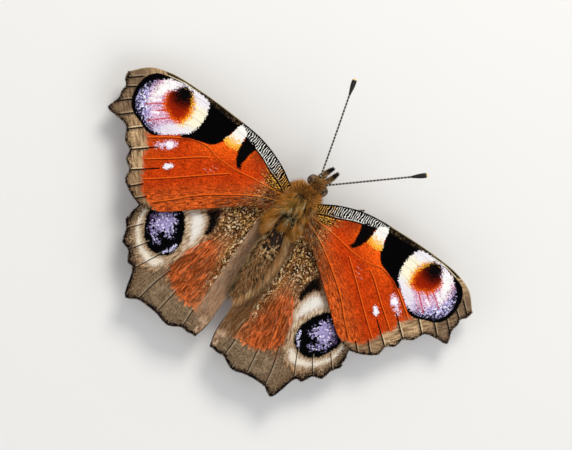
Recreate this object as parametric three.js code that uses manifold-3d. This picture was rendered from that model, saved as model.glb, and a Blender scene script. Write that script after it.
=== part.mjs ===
// Peacock butterfly (Aglais io), life size, at rest with its four wings spread flat.
// Millimetres, +Z up. The head points to -Y and the butterfly's own left is +X.
import * as THREE from "three";
import { mergeVertices } from "three/addons/utils/BufferGeometryUtils.js";
import Module from "manifold-3d";

const wasm = await Module();
wasm.setup();

// Driving sizes
const GAP = 0.32; // between a part and what it grows from
const HINGE_HEIGHT = 6.6; // forewing hinges above the floor
const HINGE_X = 3.0; // forewing and hindwing hinges from the midline
const MEMBRANE = 0.5; // wing thickness between the veins
const VEIN_RIDGE = 0.16; // how far a main vein stands above the membrane at its root
const VEIN_HALF_WIDTH = 0.34;
const FOLD_DEPTH = 0.1; // the membrane sinks this far midway between two veins
const ARCH = { height: 0.5, span: 27 }; // each wing bows up along its span
const HEAD_TURN = 16; // degrees, towards the butterfly's right
const DEG = Math.PI / 180;

// Points on the wings are [outwards, forwards] from the hinge. A rail is a vein, or the wing's
// leading or trailing edge, and ends on the outer margin. The membrane is laid between the rails.
// raisedFrom is the distance from the hinge at which that vein leaves the cell and stands proud.
const FOREWING = {
  name: "forewing",
  hinge: { forward: 0, height: HINGE_HEIGHT },
  droop: 6,
  twist: 1,
  rows: 13,
  rails: [
    {
      vein: "costa",
      points: [
        [-1.1, 1.2], [2.1, 3.1], [6.1, 4.45], [12, 5.05],
        [18, 5.2], [22, 4.95], [25, 3.95], [27.2, 1.8],
      ],
    },
    {
      vein: "radius",
      raisedFrom: -2,
      points: [
        [-1.1, 0.6], [3.1, 1.85], [9.1, 3.6],
        [17, 4.25], [22.5, 3.3], [26.9, 0.6],
      ],
    },
    { vein: "R5", raisedFrom: 12, points: [[-1.1, 0.3], [4, 1.1], [12, 2.6], [18, 2.6], [26.4, -1]] },
    {
      vein: "M1",
      raisedFrom: 12,
      points: [
        [-1.1, 0.1], [4, 0.45], [12, 1.4],
        [17, 1.5], [22.2, -0.35], [26.7, -4],
      ],
    },
    {
      vein: "M2",
      raisedFrom: 12,
      points: [
        [-1.1, -0.1], [4, -0.15], [12, 0.55],
        [16, 0.3], [20.6, -2.15], [24.1, -4.4],
      ],
    },
    {
      vein: "M3",
      raisedFrom: -2,
      points: [
        [-1.1, -0.3], [4, -0.75], [7.1, -1.2], [10.3, -1.15],
        [12.1, -0.7], [14.6, -1.2], [19.1, -3.95], [22.1, -6.45],
      ],
    },
    {
      vein: "CuA1",
      raisedFrom: -2,
      points: [
        [-1.1, -0.55], [4, -1], [7, -1.45],
        [10.2, -1.5], [15.6, -5.2], [20.4, -8.65],
      ],
    },
    {
      vein: "CuA2",
      raisedFrom: -2,
      points: [
        [-1.1, -0.8], [4, -1.25], [6.7, -1.7],
        [8.6, -3.05], [15.3, -8.4], [18.95, -11.05],
      ],
    },
    {
      vein: "2A",
      raisedFrom: -2,
      points: [
        [-1.1, -1.25], [2.1, -2.35], [9.1, -6.95],
        [12.1, -9.8], [15.5, -12.8],
      ],
    },
    { vein: "hind edge", points: [[-1.1, -1.8], [3.1, -4.7], [9.1, -9.5], [12, -11.8], [13.8, -12.65]] },
  ],
  notches: [
    [27.1, 1.1], [26.35, -0.1], [26.2, -2.1], [25.1, -4.3], [23, -4.85],
    [20.8, -7.25], [19.25, -9.55], [17.2, -12.2], [14.7, -12.8],
  ],
  dip: () => 0,
};
const HINDWING = {
  name: "hindwing",
  hinge: { forward: -2, height: HINGE_HEIGHT - 1.15 },
  droop: 7,
  twist: -0.5,
  rows: 13,
  rails: [
    {
      vein: "costa",
      points: [
        [-1, 1], [0, 1.4], [2.5, 1.3], [6, -0.45],
        [10, -3.45], [13.2, -7], [15, -10], [15.45, -11.8],
      ],
    },
    {
      vein: "ScR1",
      raisedFrom: -2,
      points: [
        [-1, 0.65], [0, 0.85], [3, -0.1],
        [11, -6.45], [14, -9.8], [15.5, -12.5],
      ],
    },
    {
      vein: "Rs",
      raisedFrom: 3,
      points: [
        [-1, 0.4], [0, 0.4], [3, -1.3],
        [9, -6.85], [12.5, -10.45], [15.6, -13.55],
      ],
    },
    {
      vein: "M1",
      raisedFrom: 4.5,
      points: [
        [-1, 0.15], [0, 0.05], [3, -2.1],
        [9, -9.15], [12, -13.25], [14.2, -16.4],
      ],
    },
    {
      vein: "M2",
      raisedFrom: 5,
      points: [
        [-1, -0.05], [0, -0.2], [2.5, -2.7],
        [7.5, -9.9], [10, -14.25], [12.05, -18.3],
      ],
    },
    {
      vein: "M3",
      raisedFrom: -2,
      points: [
        [-1, -0.25], [0, -0.5], [1.7, -3.9], [3.8, -9.9],
        [6.3, -13.4], [8.05, -17.4], [9.65, -22.45],
      ],
    },
    {
      vein: "CuA1",
      raisedFrom: -2,
      points: [
        [-1, -0.5], [-0.1, -0.85], [1.3, -4.1],
        [3.2, -9.9], [5, -15.4], [6.2, -21.85],
      ],
    },
    {
      vein: "CuA2",
      raisedFrom: -2,
      points: [
        [-1, -0.75], [-0.3, -1.35], [0.8, -4.95],
        [2.1, -11.9], [2.25, -16], [2.5, -22.5],
      ],
    },
    {
      vein: "2A",
      raisedFrom: -2,
      points: [
        [-1, -1.15], [-0.7, -1.95], [-0.2, -5.95],
        [0.5, -13.9], [0.35, -17.9], [-0.4, -21.7],
      ],
    },
    {
      vein: "inner edge",
      points: [
        [-1.1, -1.65], [-1.6, -3.95], [-2, -7],
        [-2.15, -13], [-2.2, -19.5], [-1.7, -21.55],
      ],
    },
  ],
  notches: [
    [15.45, -12.15], [15.45, -13.1], [14.8, -14.7], [12.9, -16.9], [10.9, -18.8],
    [7.85, -21.9], [4.75, -22], [0.6, -21.65], [-1.1, -21.55],
  ],
  // The inner margin turns down to a gutter that holds the abdomen.
  dip: (s, t) => 1.75 * ramp(s, 0.6, -1.6) * ramp(t, -1.6, -4.6) * (1 - 0.5 * ramp(t, -12, -17)),
};

const THORAX = { front: 2.9, rear: -4.7, halfWidth: 2.35, halfHeight: 2.3, height: 5.25, sides: 20, rings: 11 };
const ABDOMEN = {
  front: -4.4,
  rear: -15.7,
  halfWidth: 1.9,
  halfHeight: 1.5,
  height: 5.95,
  fall: 0.7,
  swing: 0.3,
  segments: 8,
  sides: 14,
};
const HEAD = { right: 0.95, forward: 3.6, height: 5.4, halfWidth: 1.15, halfLength: 1.1, halfHeight: 1.1 };
const EYE = { radius: 0.82, apart: 1.14, forward: 0.12, up: 0 };
const ANTENNA = {
  apart: 0.53,
  forward: 0.8,
  up: 0.84,
  spread: 33.5,
  rise: 16,
  lengths: { left: 15.7, right: 15.1 },
  radius: 0.25,
  club: 0.38,
  clubLength: 2.3,
};
const PALP = { apart: 0.52, length: 3.25, radius: 0.31 };
const COIL = { forward: 0.98, down: 2.3, radius: 0.92, pitch: 0.6, thickness: 0.25, turns: 1.1 };

function ramp(value, from, to) {
  const x = Math.min(1, Math.max(0, (value - from) / (to - from)));
  return x * x * (3 - 2 * x);
}

function seeded(seed) {
  let state = seed;
  return () => {
    state = (state * 1664525 + 1013904223) % 4294967296;
    return state / 4294967296;
  };
}

// Closed solids from rings and grids of points

function solidFrom(points, triangles) {
  const numbers = new Float32Array(points.flatMap((p) => [p.x, p.y, p.z]));
  return new wasm.Manifold(
    new wasm.Mesh({ numProp: 3, vertProperties: numbers, triVerts: new Uint32Array(triangles.flat()) }),
  );
}

// A closed solid with its faces turned outwards, whichever way round the triangles were listed.
function outwardSolid(points, triangles) {
  const solid = solidFrom(points, triangles);
  return solid.volume() < 0 ? solidFrom(points, triangles.map(([a, b, c]) => [a, c, b])) : solid;
}

function loft(rings) {
  const count = rings[0].length;
  const points = rings.flat();
  const triangles = [];
  for (let r = 0; r + 1 < rings.length; r++)
    for (let i = 0; i < count; i++) {
      const j = (i + 1) % count;
      const [a, b, c, d] = [r * count + i, r * count + j, (r + 1) * count + i, (r + 1) * count + j];
      triangles.push([a, b, d], [a, d, c]);
    }
  [rings[0], rings.at(-1)].forEach((ring, end) => {
    const centre = ring.reduce((sum, p) => sum.add(p), new THREE.Vector3()).divideScalar(count);
    const base = end ? (rings.length - 1) * count : 0;
    points.push(centre);
    for (let i = 0; i < count; i++) {
      const j = (i + 1) % count;
      triangles.push(end ? [base + i, base + j, points.length - 1] : [base + j, base + i, points.length - 1]);
    }
  });
  return outwardSolid(points, triangles);
}

// A round bar along a curve. radius(u) is its half thickness, and flat squeezes it across.
function bar(curve, radius, { sides = 8, steps = 12, flat = 1, up = new THREE.Vector3(0, 0, 1) } = {}) {
  const rings = [];
  for (let k = 0; k <= steps; k++) {
    const u = k / steps;
    const along = curve.getTangentAt(u);
    const across = new THREE.Vector3().crossVectors(along, up).normalize();
    const over = new THREE.Vector3().crossVectors(across, along);
    const centre = curve.getPointAt(u);
    rings.push(
      Array.from({ length: sides }, (_, i) => {
        const a = (2 * Math.PI * (i + 0.5)) / sides;
        return centre
          .clone()
          .addScaledVector(across, radius(u) * Math.cos(a))
          .addScaledVector(over, radius(u) * flat * Math.sin(a));
      }),
    );
  }
  return loft(rings);
}

function curveThrough(points, tension = "centripetal") {
  return new THREE.CatmullRomCurve3(points.map((p) => new THREE.Vector3(...p)), false, tension);
}

function ball(radii, centre, turn = 0, detail = 20) {
  const geometry = new THREE.SphereGeometry(1, detail, Math.round(detail * 0.6));
  geometry.deleteAttribute("uv");
  geometry.deleteAttribute("normal");
  const matrix = new THREE.Matrix4()
    .makeRotationZ(turn)
    .setPosition(centre)
    .multiply(new THREE.Matrix4().makeScale(...radii));
  const whole = mergeVertices(geometry.applyMatrix4(matrix), 1e-4);
  return new wasm.Manifold(
    new wasm.Mesh({
      numProp: 3,
      vertProperties: whole.attributes.position.array,
      triVerts: dropSlivers(whole),
    }),
  );
}

function dropSlivers(geometry) {
  const index = Array.from(geometry.index.array);
  const kept = [];
  for (let i = 0; i < index.length; i += 3) {
    const [a, b, c] = index.slice(i, i + 3);
    if (a !== b && b !== c && a !== c) kept.push(a, b, c);
  }
  return new Uint32Array(kept);
}

function largest(solid) {
  return solid.decompose().reduce((best, piece) => (piece.volume() > best.volume() ? piece : best));
}

// Wings

function railCurves(wing) {
  return wing.rails.map((rail) => curveThrough(rail.points.map(([s, t]) => [s, t, 0])));
}

// The outer margin from one rail's end to the next, through the notch between them.
function marginCurves(wing) {
  const stops = [];
  wing.rails.forEach((rail, k) => {
    stops.push([...rail.points.at(-1), 0]);
    if (k < wing.notches.length) stops.push([...wing.notches[k], 0]);
  });
  return curveThrough(stops);
}

function placeOnBody(wing, side, s, t, z) {
  const droop = wing.droop * DEG;
  const twist = wing.twist * DEG;
  const forward = t * Math.cos(twist) - z * Math.sin(twist);
  const lift = t * Math.sin(twist) + z * Math.cos(twist);
  return new THREE.Vector3(
    side * (HINGE_X + s * Math.cos(droop) + lift * Math.sin(droop)),
    -(wing.hinge.forward + forward),
    wing.hinge.height - s * Math.sin(droop) + lift * Math.cos(droop),
  );
}

// One wing as a closed membrane. grow widens it on every side, for cutting clear space round it.
function membrane(wing, side, grow = 0) {
  const curves = railCurves(wing);
  const margin = marginCurves(wing);
  const cells = curves.length - 1;
  const top = [];
  const bottom = [];
  for (let row = 0; row <= wing.rows; row++) {
    const u = row / wing.rows;
    const rails = curves.map((curve) => curve.getPointAt(u));
    const line = [];
    for (let cell = 0; cell < cells; cell++) {
      const [a, b] = [rails[cell], rails[cell + 1]];
      const width = a.distanceTo(b);
      const foot = Math.min(VEIN_HALF_WIDTH / width, 0.25);
      const across = [0, foot, 0.5, 1 - foot];
      if (cell === cells - 1) across.push(1);
      for (const w of across) {
        const p = a.clone().lerp(b, w);
        const [endA, endB] = [curves[cell].getPointAt(1), curves[cell + 1].getPointAt(1)];
        const scallop = margin.getPoint((2 * cell + 2 * w) / (2 * cells)).sub(endA.lerp(endB, w));
        p.addScaledVector(scallop, u ** 6);
        const near = w < 0.5 ? wing.rails[cell] : wing.rails[cell + 1];
        const distance = Math.min(w, 1 - w) * width;
        const start = near.raisedFrom;
        const raised = start === undefined ? 0 : ramp(Math.hypot(p.x, p.y), start, start + 1.5);
        const ridge = VEIN_RIDGE * raised * (1 - 0.6 * u) * Math.max(0, 1 - distance / VEIN_HALF_WIDTH);
        const fold = FOLD_DEPTH * Math.sin(Math.PI * w) * Math.min(1, width / 3) * (1 - u ** 4);
        line.push({ p, ridge, fold, first: cell === 0 && w === 0, last: w === 1 });
      }
    }
    const half = (MEMBRANE / 2) * (1 - 0.25 * u ** 8) + grow;
    const faces = line.map(({ p, ridge, fold, first, last }) => {
      const t = p.y + (first ? grow : 0) - (last ? 0.75 * grow : 0);
      const s = p.x + (row === wing.rows ? grow : 0) - (row === 0 || last ? 0.75 * grow : 0);
      const level = ARCH.height * Math.sin((Math.PI * Math.max(0, s)) / ARCH.span) - wing.dip(s, t) - fold;
      return [placeOnBody(wing, side, s, t, level + half + ridge), placeOnBody(wing, side, s, t, level - half)];
    });
    top.push(faces.map((f) => f[0]));
    bottom.push(faces.map((f) => f[1]));
  }
  return sheet(top, bottom);
}

// Two grids of like size, joined along their borders.
function sheet(top, bottom) {
  const rows = top.length;
  const columns = top[0].length;
  const points = [...top.flat(), ...bottom.flat()];
  const above = (r, c) => r * columns + c;
  const below = (r, c) => rows * columns + r * columns + c;
  const triangles = [];
  for (let r = 0; r + 1 < rows; r++)
    for (let c = 0; c + 1 < columns; c++)
      for (const [at, turned] of [[above, false], [below, true]]) {
        const [p, q, v, w] = [at(r, c), at(r, c + 1), at(r + 1, c), at(r + 1, c + 1)];
        for (const [i, j, k] of [[p, q, w], [p, w, v]]) triangles.push(turned ? [i, k, j] : [i, j, k]);
      }
  const border = [];
  for (let c = 0; c + 1 < columns; c++) border.push([0, c, 0, c + 1]);
  for (let r = 0; r + 1 < rows; r++) border.push([r, columns - 1, r + 1, columns - 1]);
  for (let c = columns - 1; c > 0; c--) border.push([rows - 1, c, rows - 1, c - 1]);
  for (let r = rows - 1; r > 0; r--) border.push([r, 0, r - 1, 0]);
  for (const [r1, c1, r2, c2] of border) {
    const [a, b, c, d] = [above(r1, c1), above(r2, c2), below(r1, c1), below(r2, c2)];
    triangles.push([a, c, d], [a, d, b]);
  }
  return outwardSolid(points, triangles);
}

// Body

// A point on the thorax. v runs from its front to its rear, and angle goes round it from its left.
function thoraxPoint(v, angle, grow = 0) {
  const { front, rear, halfWidth, halfHeight, height } = THORAX;
  const forward = front + grow + (rear - front - 2 * grow) * v;
  const round = Math.max(0.001, 1 - Math.abs(2 * v - 1) ** 2.4) ** 0.5;
  const girth = round * (1 - 0.12 * ramp(v, 0.6, 1));
  return new THREE.Vector3(
    -0.45 * ramp(forward, 0.5, 3) + (halfWidth * girth + grow) * Math.cos(angle),
    -forward,
    height + 0.15 * ramp(forward, 2, -2) + (halfHeight * girth + grow) * Math.sin(angle),
  );
}

function thoraxSolid(grow = 0) {
  const { rings, sides } = THORAX;
  const lines = [];
  for (let r = 0; r <= rings; r++) {
    const v = 0.5 - 0.5 * Math.cos((Math.PI * (r + 0.35)) / (rings + 0.7));
    lines.push(Array.from({ length: sides }, (_, i) => thoraxPoint(v, (2 * Math.PI * i) / sides, grow)));
  }
  return loft(lines);
}

function abdomenSolid(grow = 0) {
  const { front, rear, halfWidth, halfHeight, height, fall, swing, segments, sides } = ABDOMEN;
  const steps = segments * 3;
  const lines = [];
  for (let k = 0; k <= steps; k++) {
    const v = k / steps;
    const girth = (0.72 + 0.28 * ramp(v, 0, 0.3)) * Math.max(0.03, 1 - v ** 3.2) ** 0.62;
    const ring = 1 - 0.035 * (k % 3 === 0 && k > 0 ? 1 : 0);
    const forward = front + grow + (rear - front - 2 * grow) * v;
    const centre = height - fall * v * v;
    const across = -swing * Math.sin(Math.PI * v);
    lines.push(
      Array.from({ length: sides }, (_, i) => {
        const a = (2 * Math.PI * i) / sides;
        const under = Math.sin(a) < 0 ? 0.93 : 1;
        return new THREE.Vector3(
          across + (halfWidth * girth * ring + grow) * Math.cos(a),
          -forward,
          centre + (halfHeight * girth * ring * under + grow) * Math.sin(a),
        );
      }),
    );
  }
  return loft(lines);
}

// Places given in the head's own frame: right of its middle, forward of it, above it.
const headCentre = new THREE.Vector3(-HEAD.right, -HEAD.forward, HEAD.height);
const headTurn = -HEAD_TURN * DEG;
const upward = new THREE.Vector3(0, 0, 1);

function fromHead(right, forward, up) {
  return new THREE.Vector3(-right, -forward, up).applyAxisAngle(upward, headTurn).add(headCentre);
}

function headSolid(grow = 0) {
  const radii = [HEAD.halfWidth + grow, HEAD.halfLength + grow, HEAD.halfHeight + grow];
  const neck = new THREE.LineCurve3(fromHead(0, 0, 0), new THREE.Vector3(-0.5, -2.2, HEAD.height));
  return ball(radii, headCentre, headTurn).add(bar(neck, () => 0.8 + grow, { sides: 14, steps: 1 }));
}

function eyeSolid(side, grow = 0) {
  const centre = fromHead(-side * EYE.apart, EYE.forward, EYE.up);
  return ball([EYE.radius * 0.86 + grow, EYE.radius + grow, EYE.radius + grow], centre, headTurn, 16);
}

function antennaSolid(side) {
  const { apart, forward, up, spread, rise, lengths, radius, club, clubLength } = ANTENNA;
  const length = side > 0 ? lengths.left : lengths.right;
  const root = fromHead(-side * (apart - 0.15), forward - 0.25, up - 0.35);
  const sideways = side * Math.sin(spread * DEG);
  const heading = new THREE.Vector3(sideways, -Math.cos(spread * DEG), Math.tan(rise * DEG))
    .applyAxisAngle(upward, headTurn)
    .normalize();
  const at = (share, bow) => root.clone().addScaledVector(heading, length * share).addScaledVector(upward, bow);
  const curve = new THREE.CatmullRomCurve3([at(0, 0), at(0.12, 0.35), at(0.45, 0.55), at(0.75, 0.3), at(1, 0)]);
  const thickness = (u) => {
    const clubStart = 1 - clubLength / length;
    const swell = ramp(u, clubStart, 1 - 0.35 * (1 - clubStart));
    return (radius + (club - radius) * swell) * Math.sqrt(Math.max(0.04, 1 - ramp(u, 0.975, 1.004)));
  };
  return bar(curve, thickness, { sides: 6, steps: 24 });
}

function palpSolid(side) {
  const { apart, length, radius } = PALP;
  const points = [
    fromHead(-side * apart, 0.6, -0.55),
    fromHead(-side * apart, 1.3, -0.75),
    fromHead(-side * (apart + 0.03), 2.3, -0.2),
    fromHead(-side * (apart - 0.02), length, 0.55),
  ];
  const girth = (u) => radius * (0.8 + 0.35 * Math.sin(Math.PI * Math.min(1, u * 1.3))) * (1 - 0.72 * u ** 3);
  return bar(new THREE.CatmullRomCurve3(points), girth, { sides: 9, steps: 9 });
}

// The tongue, rolled up below the head between the feet of the palps.
function proboscisSolid() {
  const { forward, down, radius, pitch, thickness, turns } = COIL;
  const points = [fromHead(0, 0.15, -0.8), fromHead(0, 0.1, -1.6)];
  for (let k = 0; k <= 16; k++) {
    const a = 2 * Math.PI * turns * (k / 16);
    const r = radius - pitch * turns * (k / 16);
    points.push(fromHead(0, forward - r * Math.cos(a) * 0.95, -down - r * Math.sin(a)));
  }
  const side = fromHead(1, 0, 0).sub(headCentre);
  const taper = (u) => thickness * (1 - 0.25 * u);
  return bar(new THREE.CatmullRomCurve3(points), taper, { sides: 6, steps: 30, up: side });
}

// Each leg is one jointed bar from the underside of the thorax. The forelegs of this family are
// short brushes held up against the chest, and the insect stands on the other four.
// Joints are [right, forward, up].
const LEGS = {
  fore: {
    root: [0.55, 2.1, 3.9],
    knee: [1.35, 3.1, 2.7],
    ankle: [1.15, 1.7, 2.05],
    toe: [0.95, 0.6, 2.1],
    radius: 0.3,
  },
  mid: {
    root: [0.9, 0.5, 3.9],
    knee: [4.6, 2, 4.1],
    ankle: [7, 3.4, 0.7],
    toe: [9.6, 5.4, 0.2],
    radius: 0.34,
  },
  hind: {
    root: [0.9, -1.9, 3.9],
    knee: [4.3, -3.9, 3.75],
    ankle: [6.6, -6.9, 0.7],
    toe: [8.4, -9.9, 0.2],
    radius: 0.34,
  },
};

function legSolid(which, side, grow = 0) {
  const { root, knee, ankle, toe, radius } = LEGS[which];
  const at = ([right, forward, up]) => new THREE.Vector3(side * right, -forward, up);
  const [hip, bend, heel, end] = [root, knee, ankle, toe].map(at);
  const stops = [];
  const piece = (from, to, shares) =>
    shares.forEach(([share, thickness]) => stops.push([from.clone().lerp(to, share), radius * thickness]));
  const clear = (from, to) => (1.4 * radius) / from.distanceTo(to); // keeps a ring out of the bend
  const femurEnd = Math.max(0.75, 1 - clear(hip, bend));
  const tibiaEnd = 1 - 0.7 * clear(bend, heel);
  piece(hip, bend, [[0, 1.5], [0.3, 1.45], [0.36, 1.15], [0.42, 1.2], [0.7, 1.2], [femurEnd, 0.95]]);
  piece(bend, heel, [[0, 1], [clear(bend, heel), 0.86], [0.55, 0.92], [tibiaEnd, 0.78]]);
  const sole = which === "fore" ? heel.clone().lerp(end, 0.1) : heel.clone().lerp(end, 0.22).setZ(toe[2]);
  stops.push([heel, radius * 0.86]);
  piece(sole, end, [[0, 0.8], [0.3, 0.74], [0.34, 0.8], [0.62, 0.74], [0.66, 0.8], [0.97, 0.76], [1, 0.4]]);
  const rings = stops.map(([centre, thickness], k) => {
    const [before, after] = [stops[Math.max(0, k - 1)][0], stops[Math.min(stops.length - 1, k + 1)][0]];
    const along = after.clone().sub(before).normalize();
    const across = new THREE.Vector3(-along.y, along.x, 0).normalize();
    const over = new THREE.Vector3().crossVectors(across, along);
    return Array.from({ length: 8 }, (_, i) => {
      const a = (2 * Math.PI * (i + 0.5)) / 8;
      return centre
        .clone()
        .addScaledVector(across, (thickness + grow) * Math.cos(a))
        .addScaledVector(over, (thickness + grow) * Math.sin(a));
    });
  });
  return loft(rings).trimByPlane([0, 0, 1], 0);
}

// Long pile

// A tapered lock. It leaves the skin along lean and droops towards lie.
function lock(root, normal, lie, length, width) {
  const lean = normal.clone().multiplyScalar(0.75).add(lie).normalize();
  const tipWay = normal.clone().multiplyScalar(0.3).add(lie).normalize();
  const start = root.clone().addScaledVector(normal, -0.35);
  const middle = root.clone().addScaledVector(lean, length * 0.45);
  const tip = middle.clone().addScaledVector(tipWay, length * 0.6);
  const curve = new THREE.QuadraticBezierCurve3(start, middle, tip);
  const swell = (u) => 0.55 + 0.45 * Math.sin(Math.PI * Math.min(1, u * 1.4 + 0.15));
  const girth = (u) => width * swell(u) * (1 - 0.85 * u ** 2);
  return bar(curve, girth, { sides: 4, steps: 3, flat: 0.6, up: normal });
}

function thoraxPile() {
  const random = seeded(7);
  const locks = [];
  const rows = 8;
  for (let r = 0; r < rows; r++) {
    const v = 0.1 + (0.84 * r) / (rows - 1);
    const count = 8;
    for (let i = 0; i < count; i++) {
      const share = (i + (r % 2) * 0.5 + 0.25 * (random() - 0.5)) / (count - 0.5);
      const angle = (-20 + 220 * share) * DEG;
      const at = Math.min(0.97, v + 0.03 * (random() - 0.5));
      const root = thoraxPoint(at, angle);
      const normal = thoraxPoint(at, angle, 0.2).sub(root).normalize();
      const lie = new THREE.Vector3(0.5 * normal.x, r === 0 ? 0.1 : 1, -0.15);
      locks.push(lock(root, normal, lie, 0.95 + 0.4 * random(), 0.36));
    }
  }
  return locks;
}

// Assembly

const thoraxClear = thoraxSolid(GAP);
const headClear = headSolid(GAP);
const abdomenClear = abdomenSolid(GAP);
const solids = new Map();
const sides = [["left", 1], ["right", -1]];

solids.set("abdomen", abdomenSolid().subtract(thoraxClear));
const bareHead = headSolid().subtract(thoraxClear);
solids.set("head", bareHead);
solids.set("proboscis", proboscisSolid().subtract(headClear));
for (const [word, side] of sides) {
  solids.set("eye_" + word, eyeSolid(side).subtract(headClear).subtract(thoraxClear));
  solids.set("antenna_" + word, antennaSolid(side).subtract(headClear));
  solids.set("palp_" + word, palpSolid(side).subtract(headClear));
  for (const wing of [FOREWING, HINDWING])
    solids.set(wing.name + "_" + word, membrane(wing, side).subtract(thoraxClear).subtract(abdomenClear));
  for (const which of Object.keys(LEGS))
    solids.set("leg_" + which + "_" + word, legSolid(which, side).subtract(thoraxClear));
}
const wingRoom = wasm.Manifold.union(
  [FOREWING, HINDWING].flatMap((wing) => sides.map(([, side]) => membrane(wing, side, GAP * 1.7))),
);
const legRoom = wasm.Manifold.union(
  Object.keys(LEGS).flatMap((which) => sides.map(([, side]) => legSolid(which, side, GAP * 1.2))),
);
const eyeRoom = wasm.Manifold.union(sides.map(([, side]) => eyeSolid(side, GAP)));
const pileRoom = wasm.Manifold.union([wingRoom, legRoom, eyeRoom, abdomenClear, headClear]);
const pile = wasm.Manifold.union(thoraxPile()).subtract(pileRoom);
solids.set("thorax", thoraxSolid().add(pile));

const COLOURS = {
  thorax: 0x7a4a1c,
  head: 0x5a3a1e,
  abdomen: 0x4a3420,
  eye: 0x3a2416,
  antenna: 0x1c1612,
  palp: 0x6e4a26,
  proboscis: 0x2c1c10,
  leg: 0x8a6a44,
  forewing: 0xc04a14,
  hindwing: 0xa8562a,
};

// The insect is moved along Y until the middle of its outline stands over the origin.
const FORWARD_SHIFT = 2.915;
const butterfly = new THREE.Group();
butterfly.position.y = -FORWARD_SHIFT;
for (const [name, solid] of solids) {
  const mesh = largest(solid).getMesh();
  const positions = new Float32Array(mesh.numVert * 3);
  for (let i = 0; i < mesh.numVert; i++)
    positions.set(mesh.vertProperties.subarray(i * mesh.numProp, i * mesh.numProp + 3), i * 3);
  const geometry = new THREE.BufferGeometry()
    .setAttribute("position", new THREE.BufferAttribute(positions, 3))
    .setIndex(new THREE.BufferAttribute(mesh.triVerts, 1));
  geometry.computeVertexNormals();
  const colour = COLOURS[name.split("_")[0]];
  const material = new THREE.MeshStandardMaterial({ color: colour, roughness: 0.8, metalness: 0 });
  const node = new THREE.Mesh(geometry, material);
  node.name = name;
  butterfly.add(node);
}

export default butterfly;
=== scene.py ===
import math

import bpy
import numpy as np
from mathutils import Matrix, Vector


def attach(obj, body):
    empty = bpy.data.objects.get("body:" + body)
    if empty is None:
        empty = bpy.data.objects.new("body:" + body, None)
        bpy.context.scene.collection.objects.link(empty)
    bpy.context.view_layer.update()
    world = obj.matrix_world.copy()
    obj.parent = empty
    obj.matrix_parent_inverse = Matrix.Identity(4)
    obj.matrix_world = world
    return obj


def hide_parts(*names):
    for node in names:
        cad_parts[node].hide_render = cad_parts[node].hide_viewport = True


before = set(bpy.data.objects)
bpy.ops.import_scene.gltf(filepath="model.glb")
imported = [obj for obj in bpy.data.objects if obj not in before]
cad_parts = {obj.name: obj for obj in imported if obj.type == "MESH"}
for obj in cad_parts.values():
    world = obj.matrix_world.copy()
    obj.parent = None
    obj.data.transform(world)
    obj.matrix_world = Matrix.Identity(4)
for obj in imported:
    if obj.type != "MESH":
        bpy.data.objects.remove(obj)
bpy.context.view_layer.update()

# A peacock butterfly at rest, life size. Lengths are in millimetres until a mesh is filled.
# The head points to -Y and the butterfly's own left is +X.
mm = 0.001
forwardShift = 2.915  # the insect is moved along Y so that its outline is centred over the origin
dice = np.random.default_rng(11)


def tone(red, green, blue):  # a screen colour from 0 to 255, as the renderer wants it
    parts = [channel / 255 for channel in (red, green, blue)]
    return [c / 12.92 if c < 0.04 else ((c + 0.055) / 1.055) ** 2.4 for c in parts] + [1]


def rampUp(value, start, end):
    x = np.clip((value - start) / (end - start), 0, 1)
    return x * x * (3 - 2 * x)


def unit(rows):  # each row drawn out or in to a length of 1
    return rows / np.maximum(1e-9, np.linalg.norm(rows, axis=-1, keepdims=True))


def between(low, high, count):
    return low + (high - low) * dice.random(count)


def scatter(*shape):  # random numbers from -0.5 to 0.5
    return dice.random(shape) - 0.5


# Material nodes written as sums

class Wire:
    # one socket, with Python's own arithmetic on it
    def __init__(self, finish, socket):
        self.finish = finish
        self.socket = socket

    def __add__(self, other):
        return self.finish.sum("ADD", self, other)

    def __sub__(self, other):
        return self.finish.sum("SUBTRACT", self, other)

    def __rsub__(self, other):
        return self.finish.sum("SUBTRACT", other, self)

    def __mul__(self, other):
        return self.finish.sum("MULTIPLY", self, other)

    __radd__ = __add__
    __rmul__ = __mul__


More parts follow.
